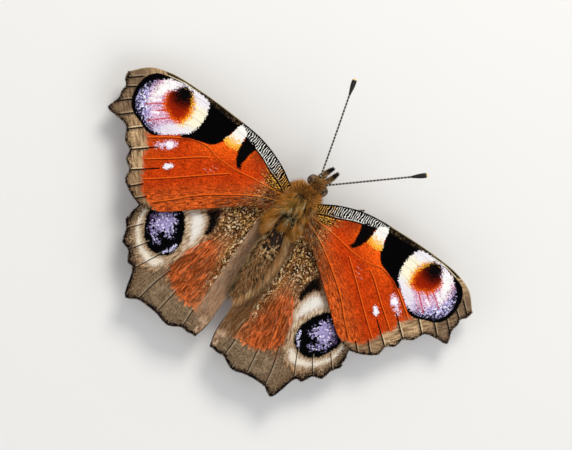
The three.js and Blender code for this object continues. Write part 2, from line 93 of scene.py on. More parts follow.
class Finish:
    # one material under construction
    def __init__(self, name):
        self.material = bpy.data.materials.new(name)
        self.material.use_nodes = True
        self.tree = self.material.node_tree
        self.tree.nodes.clear()

    def node(self, kind, settings=None, sockets=None):
        made = self.tree.nodes.new("ShaderNode" + kind)
        for setting, value in (settings or {}).items():
            setattr(made, setting, value)
        for place, value in (sockets or {}).items():
            if isinstance(value, Wire):
                self.tree.links.new(value.socket, made.inputs[place])
            else:  # a number, or a screen colour as three numbers
                made.inputs[place].default_value = tone(*value) if isinstance(value, tuple) else value
        return made

    def out(self, made, place=0):
        return Wire(self, made.outputs[place])

    def sum(self, operation, *values):
        return self.out(self.node("Math", {"operation": operation}, dict(enumerate(values))))

    def own(self, name, kind="Fac"):  # a number or a vector that the mesh carries
        return self.out(self.node("Attribute", {"attribute_name": name}), kind)

    def place(self):
        return self.out(self.node("TexCoord"), "Object")

    def parts(self, vector):
        made = self.node("SeparateXYZ", sockets={0: vector})
        return [self.out(made, k) for k in range(3)]

    def vector(self, x, y, z=0.0):
        return self.out(self.node("CombineXYZ", sockets={0: x, 1: y, 2: z}))

    def ramp(self, value, start, end, low=0.0, high=1.0):
        settings = {"interpolation_type": "SMOOTHSTEP"}
        sockets = {"Value": value, "From Min": start, "From Max": end, "To Min": low, "To Max": high}
        return self.out(self.node("MapRange", settings, sockets), "Result")

    def blend(self, share, first, second):
        return self.out(self.node("Mix", {"data_type": "RGBA"}, {0: share, 6: first, 7: second}), 2)

    def shade(self, colour, factor):  # darkens or lightens a colour
        sockets = {0: colour, "Scale": factor}
        return self.out(self.node("VectorMath", {"operation": "SCALE"}, sockets))

    def noise(self, where, size, detail=2.0, rough=0.5):  # from 0 to 1, and size is that of one lump
        sockets = {"Vector": where, "Scale": 1 / size, "Detail": detail, "Roughness": rough}
        return self.out(self.node("TexNoise", sockets=sockets), "Fac")

    def cells(self, where, size):  # two random numbers for each scale, and the distance from its middle
        made = self.node("TexVoronoi", sockets={"Vector": where, "Scale": 1 / size})
        random = self.parts(self.out(made, "Color"))
        return random[0], random[1], self.out(made, "Distance")

    def bump(self, height, depth):
        return self.out(self.node("Bump", sockets={"Height": height, "Distance": depth, "Strength": 1.0}))

    def surface(self, colour, rough, normal=None, **fixed):
        sockets = {"Base Color": colour, "Roughness": rough}
        if normal is not None:
            sockets["Normal"] = normal
        for setting, value in fixed.items():
            sockets[setting.replace("_", " ")] = value
        shader = self.node("BsdfPrincipled", sockets=sockets)
        self.node("OutputMaterial", sockets={"Surface": self.out(shader)})
        return self.material


# Curves and outlines on the wing plan

def smoothLine(points, count, closed=False):
    # a centripetal curve through the points, as evenly spaced points
    points = np.array(points, float)
    if closed:
        padded = np.vstack([points[-1:], points, points[:2]])
    else:
        padded = np.vstack([2 * points[0] - points[1], points, 2 * points[-1] - points[-2]])
    pieces = []
    for stops in zip(padded, padded[1:], padded[2:], padded[3:]):
        gaps = [max(1e-6, np.linalg.norm(end - start)) for start, end in zip(stops, stops[1:])]
        knots = np.cumsum([0] + [gap ** 0.5 for gap in gaps])
        t = np.linspace(knots[1], knots[2], 24, endpoint=False)[:, None]
        level = list(stops)
        for low, high in (((0, 1, 2), (1, 2, 3)), ((0, 1), (2, 3)), ((1,), (2,))):
            level = [(p * (knots[j] - t) + q * (t - knots[i])) / (knots[j] - knots[i])
                     for p, q, i, j in zip(level, level[1:], low, high)]
        pieces.append(level[0])
    line = np.vstack(pieces + [points[:1] if closed else points[-1:]])
    along = np.cumsum(np.r_[0, np.linalg.norm(np.diff(line, axis=0), axis=1)])
    even = np.linspace(0, along[-1], count)
    return np.stack([np.interp(even, along, line[:, k]) for k in range(line.shape[1])], 1)


farAway = 9.0  # stands for a place that no line is near


def nearestLine(places, lines):
    # how far each place is from the nearest line, and the same with a sign for the line's two sides
    best = np.full(len(places), 1e9)
    signed = np.full(len(places), farAway)
    for line in lines:
        for start, end in zip(line, line[1:]):
            step = end - start
            share = np.clip(((places - start) @ step) / (step @ step), 0, 1)
            away = places - start - share[:, None] * step
            distance = np.linalg.norm(away, axis=1)
            closer = distance < best
            best = np.where(closer, distance, best)
            turn = (step[0] * away[:, 1] - step[1] * away[:, 0]) / np.linalg.norm(step)
            signed = np.where(closer, turn, signed)
    return np.stack([best, signed, np.zeros(len(places))], 1)


def lineDistance(places, line):
    return nearestLine(places, [line])[:, 0]


def pointAt(line, place):
    # a point on a line, with its place counted in the line's own points
    low = np.minimum(len(line) - 2, place.astype(int))
    part = (place - low)[:, None]
    return line[low] * (1 - part) + line[low + 1] * part


def insideDistance(places, outline, count=90):
    # above 0 inside a closed outline, below 0 outside it
    line = smoothLine(outline, count, closed=True)
    inside = np.zeros(len(places), bool)
    for (x1, y1), (x2, y2) in zip(line, line[1:]):
        if y1 == y2:
            continue
        crosses = (y1 > places[:, 1]) != (y2 > places[:, 1])
        inside ^= crosses & (places[:, 0] < (x2 - x1) * (places[:, 1] - y1) / (y2 - y1) + x1)
    return np.where(inside, 1, -1) * lineDistance(places, line)


# Wings. Points are [outwards, forwards] from the hinge. A rail is a vein, or the leading or the
# trailing edge, and ends on the outer margin. Its number says how far out it begins to stand proud.

wingBuild = {
    "hingeX": 3.0,
    "thickness": 0.11,
    "veinHeight": 0.13,
    "veinHalfWidth": 0.12,
    "creaseDepth": 0.05,
    "creaseHalfWidth": 0.12,
    "foldDepth": 0.12,
    "rippleHeight": 0.035,
    "archHeight": 0.5,
    "archSpan": 27,
    "railPoints": 400,
    "rows": 180,
    "columnsPerCell": 19,
    "crowding": 0.11,  # how far the columns are drawn towards the veins
    "scallopPower": 6,  # how late along the wing the margin's scallops set in
    "riseLength": 1.5,  # over which a vein comes up to its height
    "fanWidth": 12,  # millimetres across the fan for one radian
}
wingSides = (("left", 1), ("right", -1))

forewing = {
    "name": "forewing",
    "hinge": (0, 6.6),
    "droop": 6,
    "twist": 1,
    "gutterDepth": 0,
    "rails": [
        (99, [(-1.1, 1.2), (2.1, 3.1), (6.1, 4.45), (12, 5.05), (18, 5.2), (22, 4.95), (25, 3.95),
              (27.2, 1.8)]),
        (-2, [(-1.1, 0.6), (3.1, 1.85), (9.1, 3.6), (17, 4.25), (22.5, 3.3), (26.9, 0.6)]),
        (12, [(-1.1, 0.3), (4, 1.1), (12, 2.6), (18, 2.6), (26.4, -1)]),
        (12, [(-1.1, 0.1), (4, 0.45), (12, 1.4), (17, 1.5), (22.2, -0.35), (26.7, -4)]),
        (12, [(-1.1, -0.1), (4, -0.15), (12, 0.55), (16, 0.3), (20.6, -2.15), (24.1, -4.4)]),
        (-2, [(-1.1, -0.3), (4, -0.75), (7.1, -1.2), (10.3, -1.15), (12.1, -0.7), (14.6, -1.2), (19.1, -3.95),
              (22.1, -6.45)]),
        (10.6, [(-1.1, -0.55), (4, -1), (7, -1.45), (10.2, -1.5), (15.6, -5.2), (20.4, -8.65)]),
        (7.2, [(-1.1, -0.8), (4, -1.25), (6.7, -1.7), (8.6, -3.05), (15.3, -8.4), (18.95, -11.05)]),
        (-2, [(-1.1, -1.25), (2.1, -2.35), (9.1, -6.95), (12.1, -9.8), (15.5, -12.8)]),
        (99, [(-1.1, -1.8), (3.1, -4.7), (9.1, -9.5), (12, -11.8), (13.8, -12.65)]),
    ],
    "notches": [(27.1, 1.1), (26.35, -0.1), (26.2, -2.1), (25.1, -4.3), (23, -4.85), (20.8, -7.25),
                (19.25, -9.55), (17.2, -12.2), (14.7, -12.8)],
    "fan": (-1.5, 0.5),
    "keepClear": ["ladder"],
    "streaks": [
        [(18.0, -4.9), (20.75, -7.2)],
        [(16.1, -7.2), (19.2, -9.6)],
        [(16.7, -10.3), (18.0, -11.6)],
        [(15.3, -11.5), (16.3, -12.5)],
        [(21.0, -3.5), (22.7, -5.0)],
        [(23.6, -2.9), (25.1, -4.25)],
        [(24.6, -1.2), (26.2, -2.6)],
        [(25.0, 0.7), (26.4, -0.35)],
        [(25.3, 2.2), (26.9, 0.9)],
    ],
}

hindwing = {
    "name": "hindwing",
    "hinge": (-2, 5.45),
    "droop": 7,
    "twist": -0.5,
    "gutterDepth": 1.75,
    "rails": [
        (99, [(-1, 1), (0, 1.4), (2.5, 1.3), (6, -0.45), (10, -3.45), (13.2, -7), (15, -10), (15.45, -11.8)]),
        (-2, [(-1, 0.65), (0, 0.85), (3, -0.1), (11, -6.45), (14, -9.8), (15.5, -12.5)]),
        (3, [(-1, 0.4), (0, 0.4), (3, -1.3), (9, -6.85), (12.5, -10.45), (15.6, -13.55)]),
        (4.5, [(-1, 0.15), (0, 0.05), (3, -2.1), (9, -9.15), (12, -13.25), (14.2, -16.4)]),
        (5, [(-1, -0.05), (0, -0.2), (2.5, -2.7), (7.5, -9.9), (10, -14.25), (12.05, -18.3)]),
        (-2, [(-1, -0.25), (0, -0.5), (1.7, -3.9), (3.8, -9.9), (6.3, -13.4), (8.05, -17.4), (9.65, -22.45)]),
        (-2, [(-1, -0.5), (-0.1, -0.85), (1.3, -4.1), (3.2, -9.9), (5, -15.4), (6.2, -21.85)]),
        (-2, [(-1, -0.75), (-0.3, -1.35), (0.8, -4.95), (2.1, -11.9), (2.25, -16), (2.5, -22.5)]),
        (-2, [(-1, -1.15), (-0.7, -1.95), (-0.2, -5.95), (0.5, -13.9), (0.35, -17.9), (-0.4, -21.7)]),
        (99, [(-1.1, -1.65), (-1.6, -3.95), (-2, -7), (-2.15, -13), (-2.2, -19.5), (-1.7, -21.55)]),
    ],
    "notches": [(15.45, -12.15), (15.45, -13.1), (14.8, -14.7), (12.9, -16.9), (10.9, -18.8), (7.85, -21.9),
                (4.75, -22), (0.6, -21.65), (-1.1, -21.55)],
    "fan": (0.5, 8.0),
    "keepClear": ["smudge", "white", "disc", "band"],
    "streaks": [
        [(13.4, -12.9), (14.85, -14.6)],
        [(11.4, -14.7), (12.85, -16.8)],
        [(9.05, -15.2), (10.8, -18.7)],
        [(6.5, -16.3), (7.2, -18.5), (7.85, -21.8)],
        [(4.15, -18.2), (4.4, -19.9), (4.7, -21.9)],
        [(0.65, -19.0), (0.55, -21.6)],
    ],
}


def gutter(wing, s, t):  # the hindwing's inner margin turns down round the abdomen
    deep = rampUp(s, 0.6, -1.6) * rampUp(t, -1.6, -4.6) * (1 - 0.5 * rampUp(t, -12, -17))
    return wing["gutterDepth"] * deep


def placeOnBody(wing, side, s, t, z):
    droop = math.radians(wing["droop"])
    twist = math.radians(wing["twist"])
    hingeForward, hingeHeight = wing["hinge"]
    forward = t * math.cos(twist) - z * math.sin(twist)
    lift = t * math.sin(twist) + z * math.cos(twist)
    x = side * (wingBuild["hingeX"] + s * math.cos(droop) + lift * math.sin(droop))
    y = -(hingeForward + forward) - forwardShift
    height = hingeHeight - s * math.sin(droop) + lift * math.cos(droop)
    return np.stack([x, y, height], 1)


def wingLevel(wing, s, t):  # the membrane's middle, above the hinge plane, between the veins
    arch = wingBuild["archHeight"] * np.sin(np.pi * np.maximum(0, s) / wingBuild["archSpan"])
    return arch - gutter(wing, s, t)


def marginStops(wing):
    # the outer margin's own points: the rails' ends, with a notch between each two
    ends = [points[-1] for _, points in wing["rails"]]
    stops = [ends[0]]
    for end, notch in zip(ends[1:], wing["notches"]):
        stops += [notch, end]
    return stops


def wingPlan(wing, columns, rows):
    # for each grid point: its place on the plan, the nearest vein's distance, side and
    # height, and its place between two veins
    cells = len(wing["rails"]) - 1
    count = wingBuild["railPoints"]
    curves = np.stack([smoothLine(points, count) for _, points in wing["rails"]])
    margin = marginLine(marginStops(wing))
    u = rows * (count - 1)
    low = np.minimum(count - 2, u.astype(int))
    part = (u - low)[:, None]
    cell = np.minimum(cells - 1, (columns * cells).astype(int))
    x = columns * cells - cell
    w = x - wingBuild["crowding"] * np.sin(2 * np.pi * x)

    def railPlace(index):
        return curves[index, low] * (1 - part) + curves[index, low + 1] * part

    a, b = railPlace(cell), railPlace(cell + 1)
    width = np.linalg.norm(b - a, axis=1)
    plan = a * (1 - w[:, None]) + b * w[:, None]
    endA, endB = curves[cell, -1], curves[cell + 1, -1]
    scallop = margin(cell + w) - (endA * (1 - w[:, None]) + endB * w[:, None])
    plan = plan + scallop * (rows ** wingBuild["scallopPower"])[:, None]
    nearFirst = w < 0.5
    veinDistance = np.where(nearFirst, w, 1 - w) * width
    veinSide = np.where(nearFirst, -1, 1) * veinDistance  # below 0 behind the vein
    raisedFrom = np.array([raised for raised, _ in wing["rails"]])[np.where(nearFirst, cell, cell + 1)]
    reach = np.linalg.norm(plan, axis=1)
    raised = np.clip((reach - raisedFrom) / wingBuild["riseLength"], 0, 1)
    return plan, veinDistance, veinSide, raised, w, width, cell


def marginLine(stops):
    # the outer margin as a function of the place along it, in cells
    cells = (len(stops) - 1) / 2
    line = smoothLineByStop(stops, 40)

    return lambda place: pointAt(line, np.clip(place / cells, 0, 1) * (len(line) - 1))


def smoothLineByStop(points, fine):
    # like smoothLine, with the same number of points between each two stops
    points = np.array(points, float)
    padded = np.vstack([2 * points[0] - points[1], points, 2 * points[-1] - points[-2]])
    line = []
    for a, b, c, d in zip(padded, padded[1:], padded[2:], padded[3:]):
        t = np.linspace(0, 1, fine, endpoint=False)[:, None]
        line.append(0.5 * (2 * b + (c - a) * t + (2 * a - 5 * b + 4 * c - d) * t ** 2
                           + (3 * b - a - 3 * c + d) * t ** 3))
    return np.vstack(line + [points[-1:]])


def selectNothing():
    if bpy.context.object and bpy.context.object.mode != "OBJECT":
        bpy.ops.object.mode_set(mode="OBJECT")
    bpy.ops.object.select_all(action="DESELECT")


def ownPlaces(piece):
    flat = np.zeros(len(piece.data.vertices) * 3)
    piece.data.vertices.foreach_get("co", flat)
    return flat.reshape(-1, 3)


def newGrid(name, columns, rows):
    # a grid primitive, with each vertex's share across and along it
    selectNothing()
    bpy.ops.mesh.primitive_grid_add(x_subdivisions=columns, y_subdivisions=rows, size=1)
    piece = bpy.context.object
    piece.name = name
    piece.data.name = name
    flat = ownPlaces(piece)[:, :2]
    shares = (flat - flat.min(axis=0)) / np.ptp(flat, axis=0)
    return piece, shares[:, 0], shares[:, 1]


def setPlaces(piece, places):
    piece.data.vertices.foreach_set("co", (places * mm).astype(np.float32).ravel())
    piece.data.update()


def carry(piece, name, values):
    # stores one number or one vector for each vertex
    kind = "FLOAT" if values.ndim == 1 else "FLOAT_VECTOR"
    field = "value" if values.ndim == 1 else "vector"
    made = piece.data.attributes.new(name, kind, "POINT")
    made.data.foreach_set(field, values.astype(np.float32).ravel())


def finishPiece(piece, finishes, slot, *nodes):
    for finish in finishes:
        piece.data.materials.append(finish)
    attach(piece, "root")
    if nodes:
        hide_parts(*nodes)


# What is painted on the wings, as outlines in millimetres on the plan. Inside one is above 0.

forewingMarks = {
    "ladder": [(-1.2, 1.3), (0.6, 2.5), (3, 3.75), (6, 4.7), (8.6, 5.1), (10.2, 5.1), (10.0, 4.4),
        (9.2, 3.85), (8.4, 3.55), (6.9, 3.15), (5.3, 2.6), (3.2, 1.9), (1.1, 1.05), (-0.3, 0.6)],
    "bar": [(6.3, 3.0), (7.15, 3.35), (8.2, 3.5), (8.35, 2.6), (8.2, 1.4), (7.95, 0.5), (7.5, -0.2),
        (6.85, -0.85), (6.55, -0.7), (6.75, 0.2), (6.6, 1.0), (6.5, 1.8)],
    "cream": [(8.4, 3.6), (9.3, 4.5), (9.9, 4.3), (10.1, 3.6), (10.4, 2.4), (10.7, 1.3), (9.6, 0.8),
        (8.3, 1.2), (8.3, 2.4)],
    "patch": [(9.9, 5.3), (10.0, 3.9), (10.35, 2.6), (10.6, 1.4), (11.1, 0.5), (11.8, -0.2), (12.8, -0.55),
        (13.9, -0.9), (15.0, -1.3), (15.8, -1.7), (16.6, -1.0), (16.6, 4.6), (16.4, 5.4)],
    "eye": [(15.2, 4.35), (14.75, 3.2), (14.55, 2.0), (14.7, 0.7), (15.1, -0.4), (15.75, -1.15),
        (16.6, -1.75), (17.6, -2.45), (18.5, -3.1), (19.1, -3.65), (20.0, -3.8), (21.05, -3.55),
        (22.0, -3.1), (23.1, -2.75), (23.95, -2.2), (24.6, -1.3), (24.95, -0.2), (25.05, 1.1), (24.8, 2.4),
        (24.2, 3.4), (23.3, 4.05), (22.0, 4.4), (20.4, 4.75), (18.6, 5.0), (16.7, 4.95)],
    "iris": [(15.2, 4.35), (14.75, 3.2), (14.55, 2.0), (14.7, 0.7), (15.1, -0.4), (15.75, -1.15),
        (16.6, -1.75), (17.6, -2.45), (18.4, -2.95), (19.2, -3.25), (20.2, -3.2), (21.2, -2.95),
        (22.25, -2.55), (23.25, -2.1), (23.95, -1.2), (24.3, -0.1), (24.35, 1.0), (24.0, 2.1), (23.2, 2.95),
        (22.4, 3.65), (21.5, 4.3), (20.2, 4.6), (18.6, 4.8), (16.7, 4.85)],
    "blush": [(17.0, 2.6), (18.0, 3.7), (19.8, 3.5), (21.0, 2.6), (20.9, 1.5), (20.5, 0.5), (19.3, -0.2),
        (18.0, -0.45), (17.1, -0.1), (16.75, 1.2)],
    "wedge": [(19.9, 4.4), (21.6, 4.2), (22.4, 3.2), (22.6, 1.2), (22.4, -0.1), (21.6, 1.0), (20.9, 2.4),
        (20.2, 3.5)],
    "crescent": [(15.2, 4.4), (14.7, 3.2), (14.5, 2.0), (14.65, 0.7), (15.1, -0.4), (15.65, -1.3),
        (16.45, -2.0), (17.5, -2.75), (18.9, -3.3), (20.0, -2.9), (19.4, -2.1), (18.4, -1.3), (17.4, -0.5),
        (16.8, 0.6), (16.5, 1.8), (16.75, 3.0), (17.6, 4.0), (18.6, 4.5), (20.4, 4.4), (21.0, 4.9),
        (18, 5.2), (16.2, 5.0)],
    "spotInner": [(14.35, -5.5), (15.05, -5.6), (15.7, -6.2), (15.55, -6.75), (14.9, -6.7), (14.45, -6.1)],
    "spotOuter": [(15.7, -2.8), (16.7, -2.85), (17.6, -3.7), (18.4, -4.7), (17.9, -4.95), (17.0, -4.4),
        (16.2, -3.9)],
    "field": [(20.3, -3.5), (19.9, -4.3), (19.4, -5.1), (18.7, -6.0), (18.5, -7.2), (17.8, -8.3),
        (17.1, -9.6), (16.5, -10.8), (15.5, -11.5), (14.2, -11.9), (12.8, -12.3), (8, -10), (0, -5),
        (-3, -2), (-3, 7), (8, 8), (15, 8), (15, 4), (22.5, 4.0), (24.0, 2.6), (24.2, -0.9), (22.4, -2.4)],
    "costal": [(9.9, 5.6), (16, 6), (22.2, 5.6), (22.9, 4.7), (21.9, 4.5), (20.4, 4.8), (18.6, 4.95),
        (16.6, 4.95), (15.2, 4.5), (13, 4.35), (10.1, 4.35)],
}

hindwingMarks = {
    "disc": [(9.4, -8.3), (8.35, -9.5), (7.55, -11.1), (7.3, -12.4), (7.5, -13.7), (8.3, -14.75),
        (9.6, -15.25), (10.9, -15.05), (12.1, -14.2), (13.0, -12.8), (13.55, -11.3), (13.55, -9.9),
        (12.6, -8.3), (11, -7.4)],
    "sheen": [(9.4, -9.8), (9.9, -9.1), (10.9, -8.6), (11.9, -9.0), (12.75, -9.9), (12.95, -11.1),
        (12.4, -12.4), (11.7, -13.3), (10.5, -13.9), (10.0, -13.6), (10.6, -12.9), (10.5, -12.2),
        (9.7, -12.4), (8.9, -12.1), (9.2, -11.2)],
    "glint": [(7.45, -12.5), (7.85, -12.4), (8.35, -13.4), (8.95, -14.4), (8.6, -14.6), (7.85, -13.8)],
    "white": [(5.8, -7.6), (6.5, -6.7), (7.8, -6.6), (8.9, -7.4), (8.5, -8.8), (7.6, -10.1), (6.9, -11.4),
        (6.4, -12.4), (5.7, -11.2), (5.4, -9.6)],
    "smudge": [(5.3, -5.0), (6.4, -5.6), (6.8, -6.2), (6.0, -6.9), (5.55, -7.9), (5.25, -9.0), (4.75, -8.6),
        (4.65, -7.3), (4.85, -6.0)],
    "band": [(13.6, -9.4), (14.6, -10.6), (14.7, -12.2), (14.0, -14.0), (12.9, -15.5), (11.4, -16.7),
        (9.6, -17.3), (8.3, -16.9), (7.6, -15.6), (8.1, -14.9), (9.6, -15.4), (11, -15.2), (12.3, -14.2),
        (13.2, -12.8), (13.6, -11.2)],
    "rust": [(3.8, -8.9), (4.3, -9.7), (5.5, -11.5), (6.2, -12.8), (6.8, -14.2), (6.9, -15.3), (6.2, -16.6),
        (5.2, -17.4), (4.0, -18.2), (2.3, -18.5), (-0.1, -18.4), (-0.8, -17.6), (-0.5, -15.5), (0.6, -12),
        (1.6, -9.6), (2.6, -8.4)],
    "pepper": [(-1.5, 2), (0, 2.2), (2.8, 1.6), (4.4, -0.6), (5.0, -3.2), (4.7, -6.2), (4.2, -8.6),
        (2.4, -7.2), (1.4, -9.0), (1.2, -12), (0.8, -15), (0.1, -14), (-0.1, -9), (-0.5, -4), (-1.4, -1)],
    "inner": [(-0.6, -3.0), (-0.3, -6), (0, -10), (0.1, -14), (-0.6, -17), (-1.0, -20), (-1.4, -22),
        (-3, -22), (-3, -3)],
    "hem": [(15.0, -9.4), (15.0, -12.2), (14.2, -14.3), (13.1, -15.8), (11.6, -17.0), (9.6, -17.7),
        (8.1, -17.0), (7.2, -15.6), (6.7, -16.2), (5.4, -17.4), (4.0, -18.3), (2.3, -18.6), (-0.1, -18.5),
        (-1.0, -18.7), (-4, -19), (-4, 4), (4, 4), (10, 0), (16, -6)],
}
forewingLines = {
    "redLines": [[(20.3, 1.0), (22.4, -0.5)], [(18.4, -0.1), (20.9, -2.3)], [(19.6, 0.4), (21.2, -0.9)]],
    "creamLine": [[(17.9, 4.83), (19.6, 4.86), (21.9, 4.5)]],
    "ladderFoot": [[(-0.6, 0.1), (1.1, 1.0), (2.04, 1.3), (2.98, 1.65), (4.96, 2.55), (6.5, 3.05),
                    (8.2, 3.5)]],
    "baseLine": [[(-0.3, -0.1), (1.2, 0.55), (2.6, 1.05), (3.9, 1.6)]],
    "cellLine": [[(-0.3, -0.3), (1.1, -0.15), (2.9, 0.4), (4.4, 0.5)]],
    "whiteFleck": [[(20.6, -0.75), (21.1, -1.0)], [(21.4, 0.85), (21.8, 0.5)]],
}
hindwingLines = {
    "peppered": [[(-0.2, -2.5), (0.3, -5.5), (0.55, -9.5), (0.5, -14.5)]],
    "goldStripe": [[(0.7, -1.5), (1.3, -5), (1.6, -9), (1.5, -13)]],
    "rustEdge": [[(4.2, -9.5), (4.9, -10.5), (5.55, -11.6), (6.2, -12.8), (6.8, -14.1)]],
}


def wingFields(wing, marks, lines, plan, side, raised, w, cell):
    fields = {name: insideDistance(plan, outline) for name, outline in marks.items()}
    for name, parts in lines.items():
        fields[name] = nearestLine(plan, [smoothLine(line, 20) for line in parts])
    fields["outerEdge"] = lineDistance(plan, smoothLineByStop(marginStops(wing), 16))
    fields["frontEdge"] = lineDistance(plan, smoothLine(wing["rails"][0][1], 60))
    fields["rearEdge"] = lineDistance(plan, smoothLine(wing["rails"][-1][1], 60))
    fields["streak"] = nearestLine(plan, [smoothLine(line, 12) for line in wing["streaks"]])
    fields["veinSide"] = np.where(raised > 0.2, side, farAway)
    away = plan - np.array(wing["fan"])
    angle = np.arctan2(away[:, 0], -away[:, 1])
    fanAcross, fanAlong = angle * wingBuild["fanWidth"], np.linalg.norm(away, axis=1)
    fields["fan"] = np.stack([fanAcross, fanAlong, np.zeros(len(plan))], 1)
    fields["plan"] = np.c_[plan, (cell + w) / (len(wing["rails"]) - 1)]
    return fields


def buildWing(wing, marks, lines, finishes):
    cells = len(wing["rails"]) - 1
    fields = None
    for word, side in wingSides:
        name = wing["name"] + "Membrane_" + word
        piece, across, along = newGrid(name, cells * wingBuild["columnsPerCell"], wingBuild["rows"])
        if fields is None:
            plan, distance, veinSide, raised, w, width, cell = wingPlan(wing, across, along)
            fields = wingFields(wing, marks, lines, plan, veinSide, raised, w, cell)
            s, t = plan[:, 0], plan[:, 1]
            body = rampUp(distance, 0, 0.9)
            ridge = raised * (1 - 0.55 * along) * np.exp(-(distance / wingBuild["veinHalfWidth"]) ** 2)
            crease = np.exp(-(fields["streak"][:, 0] / wingBuild["creaseHalfWidth"]) ** 2)
            fold = wingBuild["foldDepth"] * np.sin(np.pi * w) * np.minimum(1, width / 3) * (1 - along ** 4)
            ripple = np.sin(s * 2.1 + t * 1.3) * np.sin(t * 1.7 - s * 0.8) * body
            height = wingLevel(wing, s, t) - fold + wingBuild["veinHeight"] * ridge
            height = height - wingBuild["creaseDepth"] * crease + wingBuild["rippleHeight"] * ripple
        setPlaces(piece, placeOnBody(wing, side, s, t, height))
        for field, values in fields.items():
            carry(piece, field, values)
        if side > 0:
            piece.data.flip_normals()
        thicken = piece.modifiers.new("membrane", "SOLIDIFY")
        thicken.thickness = wingBuild["thickness"] * mm
        thicken.offset = -1
        thicken.material_offset = 1
        thicken.material_offset_rim = 1
        bpy.ops.object.modifier_apply(modifier=thicken.name)
        bpy.ops.object.shade_smooth()
        finishPiece(piece, finishes, wing["name"] + "_scales", wing["name"] + "_" + word)
        print("built", name, len(piece.data.polygons))


# Sizes of the scales, hairs and clouds that the paint is made of. longScaleFan and hairFan say how finely
# the fan is divided for them, across and along.
wingPaint = {
    "scale": 0.13,
    "longScale": 0.2,
    "longScaleFan": (1.4, 0.95),
    "hair": 0.3,
    "hairFan": (1.9, 0.25),
    "cloud": 1.6,
    "relief": 0.09,
    "rough": 0.8,
    "shine": 0.03,
}


class WingFinish(Finish):
    # a wing's paint, laid down patch by patch with edges that break up scale by scale
    # first, second, third and hairs run about 0, cloud and fourth from 0 to 1

    def __init__(self, name):
        super().__init__(name)
        self.plan = self.own("plan", "Vector")
        self.s, self.t, _ = self.parts(self.plan)
        self.fanAcross, self.fanAlong, _ = self.parts(self.own("fan", "Vector"))
        first, second, self.middle = self.cells(self.plan, wingPaint["scale"])
        third, self.fourth, _ = self.cells(self.fanned(*wingPaint["longScaleFan"]), wingPaint["longScale"])
        hairs = self.noise(self.fanned(*wingPaint["hairFan"]), wingPaint["hair"], 3, 0.65)
        self.cloud = self.noise(self.plan, wingPaint["cloud"], 3)
        self.first, self.second = first - 0.5, second - 0.5
        self.third, self.hairs = third - 0.5, hairs - 0.5

    def fanned(self, across, along):
        return self.vector(self.fanAcross * across, self.fanAlong * along)

    def lay(self, share, colour):
        self.colour = self.blend(share, self.colour, colour)

    def patch(self, name, spread, soft=0.03, inset=0.0):
        return self.ramp(self.own(name) - inset + self.first * spread, -soft, soft)

    def near(self, name, reach, soft=0.03, spread=0.0):
        return self.ramp(self.own(name) + self.first * spread, reach + soft, reach - soft)

    def line(self, name, reach, soft=0.03, spread=0.0):  # along one of the drawn lines
        distance, signed, _ = self.parts(self.own(name, "Vector"))
        across = self.sum("ABSOLUTE", signed) + self.first * spread
        return self.ramp(across, reach + soft, reach - soft) * self.ramp(distance, reach + 0.3, reach + 0.15)

    def beside(self, name, low, high, soft):  # on one side of the drawn lines
        distance, signed, _ = self.parts(self.own(name, "Vector"))
        strip = self.ramp(signed, low - soft, low + soft) * self.ramp(signed, high + soft, high - soft)
        return strip * self.ramp(distance, high + 0.4, high + 0.2)

    def distance(self, x, y):  # from a point of the plan
        dx = self.s - x
        dy = self.t - y
        return self.sum("SQRT", dx * dx + dy * dy)

    def close(self, x, y, reach):  # 1 at a point of the plan, 0 past reach
        return self.ramp(self.distance(x, y) + self.second * reach * 0.6, reach, reach * 0.6)

    def pepper(self, dark, middle, light, lightFrom):
        mixed = self.blend(self.ramp(self.third + self.first * 0.3, 0.16, 0.22), dark, middle)
        share = self.ramp(self.fourth + self.second * 0.2, lightFrom, lightFrom + 0.05)
        return self.blend(share, mixed, light)

    def grain(self, depth):
        rough = (self.first * 2.0 + self.third * 0.6 + self.hairs * 1.3) * depth
        self.colour = self.shade(self.colour, rough + 1.0)

    def done(self):
        height = self.middle * 0.6 + self.hairs * 0.5 + self.first * 0.25
        relief = self.bump(height, wingPaint["relief"] * mm)
        return self.surface(self.colour, wingPaint["rough"], relief, Specular_IOR_Level=wingPaint["shine"])


